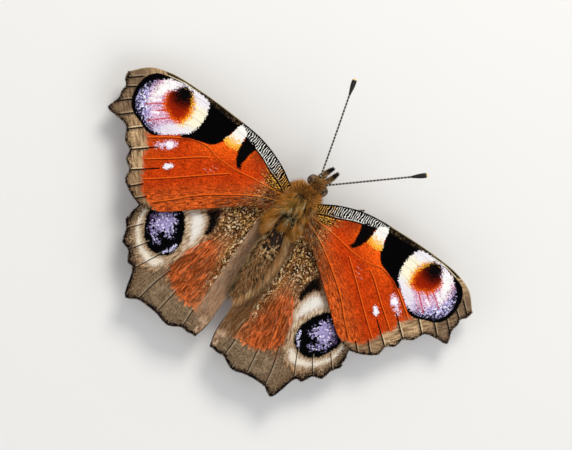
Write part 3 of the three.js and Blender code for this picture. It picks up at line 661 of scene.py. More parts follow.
def forewingTop():
    f = WingFinish("forewing upper scales")
    s, t, first, second, third, hairs, cloud = f.s, f.t, f.first, f.second, f.third, f.hairs, f.cloud
    ramp, blend, lay, own, patch = f.ramp, f.blend, f.lay, f.own, f.patch
    line, near, pepper = f.line, f.near, f.pepper
    # the rust red field, browner towards the rear and peppered near the hinge
    f.colour = blend(ramp(cloud + hairs * 0.8, 0.3, 0.7), (170, 48, 6), (198, 62, 9))
    lay(ramp(t * 0.9 + s * 0.35, 1.0, 4.5) * ramp(s, 15, 12), (232, 88, 16))
    dull = ramp(t * 0.5 - s * 0.8, 2.6, -2.0) * ramp(s, 6.6, 5.2) * ramp(t, -0.2, 0.8)
    lay(dull, (170, 54, 14))
    lay(ramp(s + t * 0.2, 14.0, 17.5) * 0.7, (186, 68, 16))
    shadow = ramp(f.sum("ABSOLUTE", s - 5.4) + first, 1.6, 0.6) * ramp(t, 1.1, 1.8)
    lay(shadow * 0.6, (126, 46, 12))
    brown = blend(ramp(hairs, -0.12, 0.1), (120, 54, 20), (212, 98, 36))
    lay(ramp(t + s * 0.72 + hairs * 2.0, 2.8, -1.4) * 0.75, brown)
    base = ramp(s * 0.9 + t * 0.25 + hairs * 3.4 + first * 0.8, 3.6, 0.6)
    gold = blend(ramp(cloud, 0.4, 0.6), (150, 92, 38), (178, 122, 56))
    lay(base * 0.95, pepper((12, 7, 4), gold, (240, 210, 150), 0.84))
    root = ramp(s + f.sum("ABSOLUTE", t - s * 0.25) * 1.1 + first * 2.6, 3.7, 2.4)
    amber = pepper((10, 6, 4), (204, 126, 40), (244, 200, 110), 0.86)
    lay(root * ramp(t, -2.0, -1.0), amber)
    f.grain(0.4)
    # the outer border, brown with dark streaks along the folds and a pale painted highlight on one side of
    # each fold
    along = f.noise(f.vector((s + t) * 0.3, (t - s) * 2.0), 0.9, 3, 0.6)
    tan = blend(ramp(along, 0.34, 0.66), (112, 82, 54), (202, 168, 126))
    tan = blend(line("streak", 0.32, 0.16, 0.2) * 0.65, tan, (64, 44, 30))
    # painted highlight on the lit side of each fold
    tan = blend(f.beside("streak", 0.1, 0.3, 0.05) * 0.85, tan, (226, 196, 152))
    tan = blend(ramp(s - t * 0.2 + (along - 0.5) * 3.0, 23.2, 25.0) * 0.65, tan, (84, 66, 54))
    tan = blend(ramp(t + s * 0.5, 0.8, -1.4) * 0.5, tan, (104, 76, 50))
    tan = blend(near("outerEdge", 0.45, 0.3, 0.5) * 0.75, tan, (56, 40, 32))
    tan = f.shade(tan, first * 0.5 + 1.0)
    lay(ramp(own("field") + first * 0.7 + (cloud - 0.5) * 0.9, 0.1, -0.1), tan)
    # the leading edge: a ladder of pale rungs over black, gold towards the hinge
    cross = s + t * 0.05 + (f.noise(f.plan, 0.55, 1) - 0.5) * 0.42 + (f.noise(f.plan, 1.5, 1) - 0.5) * 0.5
    rungs = f.sum("SINE", cross * (2 * math.pi / 0.33)) + (f.noise(f.plan, 0.25, 1) - 0.5) * 1.3
    pale = blend(ramp(s + first * 2.4, 2.7, 1.0), (246, 243, 232), (222, 160, 70))
    rungs = ramp(rungs, 0.5, 0.8) * ramp(own("frontEdge") + first * 0.2, 0.16, 0.24)
    lay(patch("ladder", 0.05), blend(rungs, (3, 3, 3), pale))
    lay(line("ladderFoot", 0.24, 0.04) * ramp(own("ladder"), 0.05, 0.0), (6, 4, 3))
    foot = line("ladderFoot", 0.045, 0.03, 0.05)
    lay(foot * ramp(s, 8.0, 7.4) * ramp(second, -0.3, -0.15) * 0.85, pale)
    for name in ("baseLine", "cellLine"):
        lay(line(name, 0.2, 0.05, 0.2) * ramp(s + first, 3.7, 2.7), (14, 7, 4))
        crest = line(name, 0.05, 0.03, 0.12) * ramp(s, 4.2, 3.0) * ramp(second, -0.2, -0.1)
        lay(crest, (232, 172, 62))
    # black patches, and cream turning to yellow between them
    speck = blend(ramp(second, 0.28, 0.34), (20, 15, 10), (92, 72, 44))
    front = ramp(own("frontEdge") + first * 0.35, 0.75, 0.45) * ramp(s, 9.8, 10.6)
    lay(patch("patch", 0.14), (2, 1, 2))
    lay(patch("costal", 0.1), speck)
    lay(front * patch("patch", 0.1), speck)
    creamy = blend(ramp(t + first * 1.3, 2.8, 2.0), (243, 240, 230), (242, 182, 62))
    lay(patch("cream", 0.2) * ramp(t + second * 1.7, 0.5, 1.3), creamy)
    lay(patch("bar", 0.34), (5, 3, 3))
    # the eye: lilac outwards, pink below, white round the rest
    pink = blend(ramp(second, -0.2, 0.2), (190, 138, 166), (232, 196, 212))
    lilac = blend(ramp(second, -0.3, 0.3), (142, 132, 190), (206, 198, 232))
    lilac = blend(ramp(f.fourth, 0.88, 0.92), lilac, (240, 236, 250))
    eye = blend(ramp(s * 0.8 - t * 0.45 + first * 1.3, 17.3, 18.3), pink, lilac)
    inward = own("iris") + first * 1.5 + third * 0.9
    dense = ramp(inward, 0.8, 0.15) * ramp(s * 0.6 - t * 0.5, 11.9, 12.8)
    flecks = ramp(third + first * 0.5, -0.18, -0.26) * ramp(s * 0.8 - t * 0.45, 17.6, 18.6) * 0.8
    eye = blend(f.sum("MAXIMUM", dense, flecks), eye, (20, 15, 24))
    middle = ramp(f.sum("ABSOLUTE", t - 1.6) + first, 2.2, 1.2)
    white = blend(middle, (234, 228, 230), (244, 236, 206))
    wedge = blend(first + 0.5, (252, 251, 248), (236, 230, 224))
    eye = blend(patch("wedge", 0.9, 0.25), eye, wedge)
    low = blend(ramp(s - t * 0.4 + first * 2.2, 19.2, 21.4), white, (176, 160, 198))
    low = blend(ramp(t, -0.6, -1.6) * ramp(second, 0.05, 0.25) * 0.7, low, (206, 186, 208))
    eye = blend(patch("crescent", 0.5, 0.08), eye, low)
    eye = blend(line("redLines", 0.09, 0.05, 0.1) * ramp(second, -0.4, -0.2), eye, (196, 44, 34))
    eye = blend(line("whiteFleck", 0.16, 0.08, 0.2) * 0.85, eye, (250, 246, 250))
    blush = own("blush") + first * 0.7
    yellow = ramp(blush + second * 0.4, -0.62, -0.1) * ramp(s - t * 0.5 + second, 18.2, 17.2)
    eye = blend(yellow, eye, (250, 186, 44))
    red = blend(ramp(blush, 0.25, 0.7), (222, 88, 6), (152, 32, 4))
    fromCore = f.distance(18.9, 3.55) + first * 0.5
    red = blend(ramp(fromCore, 2.9, 1.3), red, (72, 12, 4))
    eye = blend(ramp(blush, -0.05, 0.08), eye, red)
    eye = blend(ramp(fromCore + second * 0.7, 1.35, 0.95) * ramp(t, 4.75, 4.5), eye, (8, 5, 5))
    eye = f.shade(eye, second * 0.16 + 1.0)
    lay(patch("eye", 0.12), (3, 2, 3))
    lay(patch("iris", 0.34), eye)
    lay(line("creamLine", 0.05, 0.03), (230, 214, 176))
    # two pale spots in the field
    lay(patch("spotInner", 0.34, 0.06, 0.1), (240, 236, 242))
    lay(patch("spotOuter", 0.9, 0.2, 0.22), (224, 200, 218))
    lay(f.close(16.55, -3.5, 0.6), (246, 240, 246))
    worn = ramp(f.fourth, 0.93, 0.96) * f.close(10.2, -2.8, 1.1) * 0.8
    lay(worn, (206, 150, 140))
    # veins in the field: a bright painted highlight on each vein's crest with a dark painted shadow line
    # behind it, for light from the insect's front
    vein = own("veinSide")
    clear = ramp(own("field"), -0.1, 0.3) * ramp(own("ladder"), -0.1, -0.3)
    for name, past in (("eye", -0.2), ("patch", -0.2), ("bar", -0.2), ("cream", -0.3)):
        clear = clear * ramp(own(name), 0.0, past)
    # painted shade on the hind side of each vein
    behind = ramp(vein, -0.24, -0.17) * ramp(vein, -0.03, -0.08)
    crest = ramp(vein, -0.03, 0.0) * ramp(vein, 0.13, 0.08)
    lay(behind * clear * 0.7, (72, 16, 4))
    # painted highlight along each vein's crest, gold towards the hinge
    golden = ramp(s + first * 3, 4.0, 2.0) * ramp(third, -0.1, 0.0)
    crestHighlight = blend(golden, (240, 108, 28), (240, 170, 62))
    lay(crest * clear * 0.85, crestHighlight)
    lay(line("streak", 0.1, 0.035), (10, 6, 5))
    lay(near("outerEdge", 0.25, 0.07, 0.36), (10, 7, 8))
    lay(near("frontEdge", 0.1, 0.03, 0.04) * ramp(s, 9.0, 10.5) * 0.7, (186, 168, 128))
    lay(near("rearEdge", 0.08, 0.03) * 0.6, (60, 32, 18))
    return f.done()


def hindwingTop():
    f = WingFinish("hindwing upper scales")
    s, t, first, second, third, hairs, cloud = f.s, f.t, f.first, f.second, f.third, f.hairs, f.cloud
    ramp, blend, lay, own, patch = f.ramp, f.blend, f.lay, f.own, f.patch
    line, near, pepper = f.line, f.near, f.pepper
    hairTone = ramp(hairs, -0.12, 0.12)
    # brown ground with long streaks, rust red in the middle up to a bright vein, and tan past it
    f.colour = blend(hairTone, (112, 70, 40), (206, 144, 96))
    tan = blend(ramp(hairs, -0.14, 0.1), (128, 98, 70), (196, 170, 136))
    lay(ramp(own("disc") + hairs * 0.8, -2.6, -1.9) * ramp(s - t * 0.3, 7.2, 8.2), tan)
    rust = blend(hairTone, (126, 54, 20), (218, 106, 50))
    inland = ramp(s + hairs * 5.0 + first, -0.6, 2.6)
    inland = inland * ramp(t - s * 1.25 + hairs * 5.0, -11.8, -15.0, 0.3, 1.0)
    lay(ramp(own("rust") + first * 0.7 + hairs * 0.9, -0.2, 0.25) * inland, rust)
    lay(line("rustEdge", 0.09, 0.05, 0.08) * 0.9, (226, 82, 24))
    lay(line("goldStripe", 0.35, 0.2, 0.4) * 0.5, (184, 110, 46))
    f.grain(0.34)
    # grey brown hem, finely lined
    cross = f.noise(f.vector(f.fanAlong * 2.2, f.fanAcross * 0.6), 0.45, 2)
    fine = ramp(cross * 0.5 + hairs * 0.5 + first * 0.3, 0.05, 0.45)
    hem = blend(fine, (94, 73, 51), (140, 117, 90))
    hem = blend(ramp(cloud, 0.35, 0.65) * 0.4, hem, (128, 106, 82))
    hem = blend(ramp(s - t * 0.1, 9.0, 12.5) * 0.5, hem, (92, 68, 44))
    hem = blend(near("outerEdge", 0.8, 0.5, 0.4) * 0.5, hem, (70, 52, 38))
    hem = f.shade(hem, second * 0.4 + third * 0.5 + 1.0)
    lay(ramp(own("hem") + first * 0.7 + hairs * 1.6, 0.15, -0.15), hem)
    # pale inner band, and black and cream pepper near the hinge
    band = blend(hairTone, (114, 86, 64), (194, 162, 130))
    inner = ramp(own("inner") + hairs * 0.8, -0.4, 0.3)
    lay(inner, band)
    flecks = blend(ramp(cloud, 0.4, 0.6), (250, 226, 184), (226, 184, 112))
    peppered = pepper((8, 6, 5), (142, 98, 54), flecks, 0.8)
    lay(ramp(own("pepper") + second * 1.6 + hairs * 3.4, -0.7, 0.6) * 0.95, peppered)
    lay(inner * ramp(t + hairs * 5.0 + first * 1.5, -8.5, -5.0) * 0.95, peppered)
    strong = pepper((8, 5, 4), (168, 112, 58), (248, 222, 172), 0.72)
    stripe = line("peppered", 0.42, 0.3, 0.8) * ramp(t + second * 6, -15.5, -10.0)
    lay(stripe * 0.9, strong)
    # cream round the eye, whitest towards the hinge
    halo = ramp(own("disc") + hairs * 0.9 + first * 0.3, -1.5, -0.75) * ramp(s, 12.5, 9.5)
    lay(halo * ramp(t, -7.0, -8.5), tan)
    soft = blend(ramp(hairs, -0.1, 0.1), (150, 112, 80), (206, 186, 158))
    cream = blend(ramp(own("white") + first * 0.5, 0.1, 1.1), soft, (228, 221, 209))
    lay(ramp(own("white") + second * 0.6 + hairs * 1.6, -0.6, 0.25), cream)
    inmost = ramp(own("band") + first * 0.4 + hairs, 0.0, 0.75)
    pale = blend(inmost, (150, 122, 92), (226, 213, 192))
    lay(ramp(own("band") + second * 0.6 + hairs, -0.45, 0.25), pale)
    outer = near("outerEdge", 1.15, 0.3, 0.5) * ramp(s, 9.0, 10.5)
    brown = blend(ramp(hairs * 0.6 + second * 0.4, -0.2, 0.2), (66, 48, 32), (122, 98, 72))
    lay(outer * 0.9, brown)
    smudge = own("smudge") + hairs * 1.6 + first * 0.4
    lay(ramp(smudge, -0.35, 0.2), (8, 6, 5))
    # the eye, with a lacy lilac patch and a thin crescent
    lay(patch("disc", 0.3, 0.06), (2, 2, 3))
    violet = ramp(t * 0.6 + s * 0.8 + first * 1.5, 1.9, 3.9)
    violet = blend(violet, (154, 142, 186), (88, 66, 100))
    violet = blend(ramp(f.fourth, 0.8, 0.86), violet, (216, 206, 232))
    violet = f.shade(violet, second * 0.6 + 1.0)
    lace = f.noise(f.plan, 0.3, 2, 0.75)
    sheen = own("sheen") + first * 0.5 + third * 1.2 + (lace - 0.5) * 1.5
    lay(ramp(sheen, 0.26, 0.4), violet)
    lay(patch("glint", 0.4, 0.04, 0.13) * ramp(second, -0.32, -0.24), (206, 200, 228))
    # veins, folds and edge: painted shade behind each vein, and painted highlights on each vein's crest and
    # on one side of each fold
    vein = own("veinSide")
    quiet = ramp(own("disc"), 0.1, -0.1) * ramp(own("hem"), 0.3, -0.5)
    # painted shade behind each vein, then a painted highlight on its crest
    lay(ramp(vein, -0.2, -0.14) * ramp(vein, -0.02, -0.06) * quiet * 0.3, (54, 38, 28))
    lay(ramp(vein, -0.02, 0.02) * ramp(vein, 0.16, 0.1) * quiet * 0.15, (196, 172, 140))
    # painted highlight on the lit side of each fold
    lay(f.beside("streak", 0.08, 0.26, 0.06) * 0.22, (214, 194, 164))
    lay(line("streak", 0.085, 0.035) * 0.9, (24, 16, 12))
    lay(near("outerEdge", 0.42, 0.07, 0.5), (9, 6, 9))
    lay(near("rearEdge", 0.14, 0.04) * ramp(t, -15, -18) * 0.8, (30, 21, 20))
    lay(near("frontEdge", 0.16, 0.05) * ramp(s, 12.0, 13.5), (10, 7, 9))
    return f.done()


def wingUnderside(name):
    # dark bark-like underside with fine wavy lines and a paler outer band
    f = WingFinish(name + " under scales")
    ramp, blend, lay, own, near = f.ramp, f.blend, f.lay, f.own, f.near
    warp = f.noise(f.plan, 1.1, 3)
    lines = f.sum("SINE", f.fanAlong * 14 + warp * 16)
    f.colour = blend(ramp(lines + f.first, -0.6, 0.8), (16, 13, 13), (52, 41, 34))
    outer = ramp(own("outerEdge") + (warp - 0.5) * 2, 3.6, 1.6)
    lay(outer * 0.7, blend(ramp(f.first, -0.2, 0.2), (58, 46, 38), (92, 76, 60)))
    lay(near("outerEdge", 0.2, 0.08), (12, 10, 10))
    return f.done()


# Camera, light and floor. The camera's axes are the photograph's, turned into the insect's frame.

view = {
    "place": (40.53, 24.98, 324.85),
    "right": (-0.81335, -0.56281, 0.14739),
    "up": (0.56780, -0.82312, -0.00976),
    "back": (0.12681, 0.07575, 0.98903),
    "lens": 143.87,
    "sensor": 36,
    "clip": (0.01, 20),
}
lamps = {
    "key": {"where": (60, -210, 240), "size": 120, "power": 0.62, "tint": (1.0, 0.97, 0.92)},
    "fill": {"where": (-260, 60, 260), "size": 300, "power": 0.5, "tint": (0.93, 0.96, 1.0)},
    "rear": {"where": (180, 260, 160), "size": 200, "power": 0.22, "tint": (1.0, 1.0, 1.0)},
}
studio = {"sky": 0.55, "skyTint": (0.9, 0.93, 1.0, 1), "floor": (226, 224, 219), "floorRadius": 1.5}


def buildCamera():
    lens = bpy.data.cameras.new("camera")
    camera = bpy.data.objects.new("camera", lens)
    bpy.context.scene.collection.objects.link(camera)
    turn = Matrix([view["right"], view["up"], view["back"]]).transposed()
    camera.matrix_world = Matrix.Translation(Vector(view["place"]) * mm) @ turn.to_4x4()
    lens.sensor_width = view["sensor"]
    lens.lens = view["lens"]
    lens.clip_start, lens.clip_end = view["clip"]
    bpy.context.scene.camera = camera


def buildLights():
    for name, plan in lamps.items():
        light = bpy.data.lights.new(name, "AREA")
        light.size = plan["size"] * mm
        light.energy = plan["power"]
        light.color = plan["tint"]
        lamp = bpy.data.objects.new(name, light)
        bpy.context.scene.collection.objects.link(lamp)
        lamp.location = Vector(plan["where"]) * mm
        lamp.rotation_euler = (-Vector(plan["where"])).to_track_quat("-Z", "Y").to_euler()
    world = bpy.data.worlds.new("studio")
    bpy.context.scene.world = world
    world.use_nodes = True
    sky = world.node_tree.nodes["Background"]
    sky.inputs["Color"].default_value = studio["skyTint"]
    sky.inputs["Strength"].default_value = studio["sky"]
    bpy.context.scene.view_settings.view_transform = "Standard"


def buildFloor():
    selectNothing()
    radius = studio["floorRadius"]
    bpy.ops.mesh.primitive_circle_add(vertices=96, radius=radius, fill_type="NGON", location=(0, 0, 0))
    floor = bpy.context.object
    floor.name = "floor"
    f = Finish("floor paint")
    floor.data.materials.append(f.surface(studio["floor"], 0.9, Specular_IOR_Level=0.1))


# Body shapes. Each takes a share along (0 front, 1 rear) and an angle round, and gives places in millimetres.
# Here and below mesh is the number of faces round and along.

body = {
    "thorax": {"front": 2.9, "length": 7.6, "halfWidth": 2.35, "halfHeight": 2.3, "height": 5.25,
               "bend": -0.45},
    "abdomen": {"front": -4.4, "length": 11.3, "halfWidth": 1.9, "halfHeight": 1.5, "height": 5.95,
                "bend": -0.3, "fall": 0.7},
    "head": {"halfWidth": 1.15, "halfDepth": 1.1, "place": (-0.95, -3.6, 5.4), "turn": -16},
    "eye": {"radius": 0.82, "flatness": 0.86, "out": 1.14, "ahead": 0.12, "mesh": (64, 40)},
}
bodySides = (("left", -1), ("right", 1))


def thoraxPlaces(v, angle, grow=0.0):
    plan = body["thorax"]
    forward = plan["front"] - plan["length"] * v
    girth = np.sqrt(np.maximum(0, 1 - np.abs(2 * v - 1) ** 2.4)) * (1 - 0.12 * rampUp(v, 0.6, 1))
    x = plan["bend"] * rampUp(forward, 0.5, 3) + (plan["halfWidth"] * girth + grow) * np.cos(angle)
    z = plan["height"] + 0.15 * rampUp(forward, 2, -2) + (plan["halfHeight"] * girth + grow) * np.sin(angle)
    return np.stack([x, -forward - forwardShift + grow * (2 * v - 1), z], 1)


def abdomenPlaces(v, angle, grow=0.0):
    plan = body["abdomen"]
    forward = plan["front"] - plan["length"] * v
    girth = (0.72 + 0.28 * rampUp(v, 0, 0.3)) * np.maximum(0.03, 1 - v ** 3.2) ** 0.62
    girth = girth * np.sqrt(np.maximum(0, 1 - np.clip(1 - v / 0.05, 0, 1) ** 2))
    under = np.where(np.sin(angle) < 0, 0.93, 1)
    x = plan["bend"] * np.sin(np.pi * v) + (plan["halfWidth"] * girth + grow) * np.cos(angle)
    z = plan["height"] - plan["fall"] * v ** 2 + (plan["halfHeight"] * girth + grow) * np.sin(angle) * under
    return np.stack([x, -forward - forwardShift, z], 1)


def turnHead(right, forward, up):
    # from the head's own axes to the insect's
    angle = math.radians(body["head"]["turn"])
    x, y = -right, -forward
    turnedX = x * math.cos(angle) - y * math.sin(angle)
    turnedY = x * math.sin(angle) + y * math.cos(angle)
    return turnedX, turnedY, up


def fromHead(right, forward, up):
    x, y, z = turnHead(right, forward, up)
    atX, atY, atZ = body["head"]["place"]
    return np.stack(np.broadcast_arrays(x + atX, y + atY - forwardShift, z + atZ), -1).astype(float)


def headPlaces(v, angle, grow=0.0):
    across, deep = body["head"]["halfWidth"] + grow, body["head"]["halfDepth"] + grow
    ring = np.sin(math.pi * v)
    return fromHead(across * ring * np.cos(angle), deep * np.cos(math.pi * v), deep * ring * np.sin(angle))


def eyePlaces(side):
    plan = body["eye"]
    radius = plan["radius"]

    def places(v, angle, grow):
        ring = np.sin(math.pi * v)
        right = side * plan["out"] + radius * plan["flatness"] * np.cos(math.pi * v)
        return fromHead(right, plan["ahead"] + radius * ring * np.cos(angle), radius * ring * np.sin(angle))

    return places


def roundForm(name, shape, segments, rings, grow=0.0):
    # a sphere primitive drawn out to one of the shapes above
    selectNothing()
    bpy.ops.mesh.primitive_uv_sphere_add(segments=segments, ring_count=rings, radius=1)
    piece = bpy.context.object
    piece.name = name
    x, y, z = ownPlaces(piece).T
    setPlaces(piece, shape(np.arccos(np.clip(z, -1, 1)) / np.pi, np.arctan2(y, x), grow))
    return piece


# Tufts. A spine is a row of places from the root to the tip, and each tuft is a tapering blade on one.

def meshFromArrays(name, places, faces):
    # faces is a list of whole-number arrays, one row of vertices to a face
    mesh = bpy.data.meshes.new(name)
    mesh.vertices.add(len(places))
    mesh.vertices.foreach_set("co", (places * mm).astype(np.float32).ravel())
    corners = np.concatenate([part.ravel() for part in faces])
    sizes = np.concatenate([np.full(len(part), part.shape[1]) for part in faces])
    mesh.loops.add(len(corners))
    mesh.loops.foreach_set("vertex_index", corners.astype(np.int32))
    mesh.polygons.add(len(sizes))
    mesh.polygons.foreach_set("loop_start", np.r_[0, np.cumsum(sizes)[:-1]].astype(np.int32))
    mesh.update(calc_edges=True)
    piece = bpy.data.objects.new(name, mesh)
    bpy.context.scene.collection.objects.link(piece)
    return piece, corners


tufts = {
    "tapers": {2: [0.9, 0.8], 3: [0.8, 1.0, 0.65], 4: [0.8, 1.0, 0.85, 0.5]},  # by the number of rings
    "flatness": 0.5,
    "buried": 0.1,
    "patch": 0.003,
    "clumpTable": 5003,
}


def spinesFrom(roots, leans, lengths, rings=2, curl=0.35, droop=0.0):
    bend = scatter(len(roots), 3) * curl + np.array([0, 0, -droop])
    shares = np.linspace(0, 1, rings + 1)
    shares[0] = -tufts["buried"]
    leans = unit(leans)
    return np.stack([roots + (leans * share + bend * share ** 2) * lengths[:, None] for share in shares], 1)


def growTufts(name, spines, ups, width, patches, zone, finish, slot, tints=None):
    # patches is each root's place on the skin's unwrap, and zone its shares of rust, black and pale
    count, stops, _ = spines.shape
    rings = stops - 1
    tangents = np.gradient(spines, axis=1)
    across = unit(np.cross(tangents, np.broadcast_to(ups, (count, 3))[:, None, :]))
    flat = unit(np.cross(across, tangents))
    places = []
    for ring, wide in enumerate(tufts["tapers"][rings]):
        for corner in range(3):
            angle = 2 * math.pi * corner / 3 + math.pi / 2
            aside = across[:, ring] * math.cos(angle) + flat[:, ring] * tufts["flatness"] * math.sin(angle)
            places.append(spines[:, ring] + width * wide * aside)
    places.append(spines[:, -1])
    each = 3 * rings + 1
    places = np.stack(places, 1).reshape(-1, 3)
    first = (np.arange(count) * each)[:, None]
    quads = [first + np.array([3 * r + c, 3 * r + (c + 1) % 3, 3 * r + 3 + (c + 1) % 3, 3 * r + 3 + c])
             for r in range(rings - 1) for c in range(3)]
    last = 3 * (rings - 1)
    threes = [first + np.array([last + c, last + (c + 1) % 3, each - 1]) for c in range(3)]
    threes.append(first + np.array([2, 1, 0]))
    piece, corners = meshFromArrays(name, places, [np.vstack(quads), np.vstack(threes)])
    number = corners % each
    offset = np.stack([(number % 3) / 3, (number // 3) / rings], 1) * tufts["patch"]
    unwrap = piece.data.uv_layers.new(name="OFBake")
    unwrap.data.foreach_set("uv", (patches[corners // each] * 0.99 + offset).astype(np.float32).ravel())
    carry(piece, "along", np.tile(np.r_[np.repeat(np.arange(rings), 3), rings] / rings, count))
    carry(piece, "tint", np.repeat(dice.random(count) if tints is None else tints, each))
    carry(piece, "zone", np.repeat(zone, each, axis=0))
    finishPiece(piece, [finish], slot)
    print("grown", name, count)


def clumps(across, along, width, length):
    # one number shared by the tufts that stand close together, so that they take one colour
    size = tufts["clumpTable"]
    table = dice.random(size)
    across = across / width + scatter(len(across)) * 0.5
    along = along / length + scatter(len(across)) * 0.5
    return table[(np.floor(across).astype(int) * 131 + np.floor(along).astype(int) * 977) % size]


def shares3(count, rust, dark, pale):
    return np.stack([np.broadcast_to(part, (count,)) for part in (rust, dark, pale)], 1).astype(float)


def pileFinish(name, tones):
    # each hair is dark at its root and lighter towards its tip
    f = Finish(name)
    tint = f.own("tint")
    rust, dark, pale = f.parts(f.own("zone", "Vector"))
    colour = f.blend(tint, tones["plain"][0], tones["plain"][1])
    redder = f.blend(tint, tones["rust"][0], tones["rust"][1])
    colour = f.blend(f.ramp(rust + (tint - 0.5) * 0.4, 0.25, 0.75), colour, redder)
    colour = f.blend(f.ramp(f.sum("FRACT", tint * 7.3) + dark, 0.98, 1.02), colour, (20, 13, 9))
    colour = f.blend(f.ramp(f.sum("FRACT", tint * 13.7) + pale, 0.98, 1.02), colour, tones["pale"])
    colour = f.shade(colour, f.ramp(f.own("along"), 0, 0.7, 0.5, 1.15))
    return f.surface(colour, 0.6, Specular_IOR_Level=0.08)


pileTones = {
    "thorax": {"plain": ((98, 72, 28), (178, 138, 64)), "rust": ((136, 84, 26), (222, 148, 62)),
               "pale": (222, 196, 146)},
    "abdomen": {"plain": ((126, 90, 54), (214, 166, 106)), "rust": ((134, 86, 48), (208, 146, 88)),
                "pale": (234, 200, 146)},
    "wing": {"plain": ((92, 60, 32), (160, 112, 66)), "rust": ((128, 62, 22), (206, 118, 56)),
             "pale": (222, 196, 152)},
    "inner": {"plain": ((170, 126, 92), (228, 188, 150)), "rust": ((160, 108, 68), (210, 156, 106)),
              "pale": (236, 212, 180)},
}

# Plain finishes with a fine grain. Lumps and relief are in millimetres.
grained = {
    "skin under the pile": {"tones": ((20, 13, 8), (58, 36, 18)), "contrast": (0.35, 0.65), "lump": 0.3,
                            "detail": 3, "relief": 0.04, "rough": 0.7, "shine": 0.15},
    "palp skin": {"tones": ((34, 24, 16), (96, 72, 48)), "lump": 0.2, "detail": 2, "relief": 0.03,
                  "rough": 0.65, "shine": 0.2},
    "proboscis horn": {"tones": ((38, 24, 14), (104, 66, 36)), "lump": 0.2, "detail": 3, "rings": 260,
                       "relief": 0.012, "rough": 0.42, "shine": 0.45},
}


def grainFinish(name):
    plan = grained[name]
    f = Finish(name)
    grain = f.noise(f.place(), plan["lump"] * mm, plan["detail"])
    share = f.ramp(grain, *plan["contrast"]) if "contrast" in plan else grain
    colour = f.blend(share, plan["tones"][0], plan["tones"][1])
    height = f.sum("SINE", f.own("along") * plan["rings"]) + grain if "rings" in plan else grain
    relief = f.bump(height, plan["relief"] * mm)
    return f.surface(colour, plan["rough"], relief, Specular_IOR_Level=plan["shine"])


# The coats on the body. depth is how far under the shape's surface the roots lie.

coats = {
    "thoraxBack": {"on": thoraxPlaces, "slot": "thorax_pile", "count": 11000, "length": (1.0, 1.8),
                   "width": 0.022, "depth": 0.14, "rings": 3},
    "thoraxNape": {"on": thoraxPlaces, "slot": "thorax_pile", "count": 50, "length": (0.7, 1.3),
                   "width": 0.026, "depth": -0.05, "rings": 3},
    "thoraxShoulders": {"on": thoraxPlaces, "slot": "thorax_pile", "count": 6500, "length": (1.8, 3.1),
                        "width": 0.022, "depth": 0.14, "rings": 4, "curl": 0.3, "droop": 0.16,
                        "patch": (0.5, 0.25)},
    "collar": {"on": thoraxPlaces, "slot": "thorax_pile", "count": 4200, "length": (0.6, 1.1),
               "width": 0.017, "depth": 0.1, "rings": 3},
    "thoraxRuff": {"on": thoraxPlaces, "slot": "thorax_pile", "count": 4000, "length": (0.7, 1.4),
                   "width": 0.017, "depth": 0.1, "rings": 3, "curl": 0.5},
    "thoraxBelly": {"on": thoraxPlaces, "slot": "thorax_pile", "count": 1500, "length": (0.8, 1.3),
                    "width": 0.04, "depth": 0.1, "rings": 2},
    "abdomenScales": {"on": abdomenPlaces, "slot": "abdomen_scales", "count": 13000, "length": (0.24, 0.44),
                      "width": 0.048, "depth": 0.22, "rings": 2},
    "abdomenHairs": {"on": abdomenPlaces, "slot": "abdomen_scales", "count": 3300, "length": (0.6, 1.1),
                     "width": 0.02, "depth": 0.2, "rings": 3, "curl": 0.3, "droop": 0.1},
    "abdomenFringe": {"on": abdomenPlaces, "slot": "abdomen_scales", "count": 6000, "length": (1.3, 2.5),
                      "width": 0.021, "depth": 0.2, "rings": 3, "curl": 0.3, "droop": 0.05},
    "headHair": {"on": headPlaces, "slot": "head_pile", "count": 7000, "length": (0.4, 0.95),
                 "width": 0.018, "depth": 0.2, "rings": 2},
}


def surfaceNormals(shape, v, angle):
    step = 1e-3
    along = shape(np.clip(v + step, 0, 1), angle) - shape(np.clip(v - step, 0, 1), angle)
    around = shape(v, angle + step) - shape(v, angle - step)
    normal = np.cross(around, along)
    outward = shape(v, angle, 0.1) - shape(v, angle)
    return unit(normal * np.where(np.sum(normal * outward, 1) < 0, -1, 1)[:, None])


def coatLengths(name, count):
    return between(*coats[name]["length"], count)


def coatRoots(name, v, angle):
    return coats[name]["on"](v, angle, -coats[name]["depth"])


def growCoat(name, v, angle, leans, lengths, zone, finish, tints=None):
    # zone holds the shares of rust, black and pale; tints can be worked out from the spines
    plan = coats[name]
    roots = coatRoots(name, v, angle)
    spines = spinesFrom(roots, leans, lengths, plan["rings"], plan.get("curl", 0.35), plan.get("droop", 0.0))
    if callable(tints):
        tints = tints(spines)
    scale, shift = plan.get("patch", (1, 0))
    patches = np.stack([(angle / (2 * math.pi)) % 1, v], 1) * 0.98 + 0.005
    growTufts(name, spines, surfaceNormals(plan["on"], v, angle), plan["width"], patches * scale + shift,
              shares3(len(v), *zone), finish, plan["slot"], tints)


# Each form of the skin: name, shape, segments, rings, and how much it is grown.
skinBuild = {
    "forms": [("thoraxForm", thoraxPlaces, 64, 48, -0.12), ("abdomenForm", abdomenPlaces, 64, 96, -0.2),
              ("headForm", headPlaces, 48, 32, -0.18)],
    "voxel": 0.09,
    "ease": 0.6,
    "rounds": 4,
}


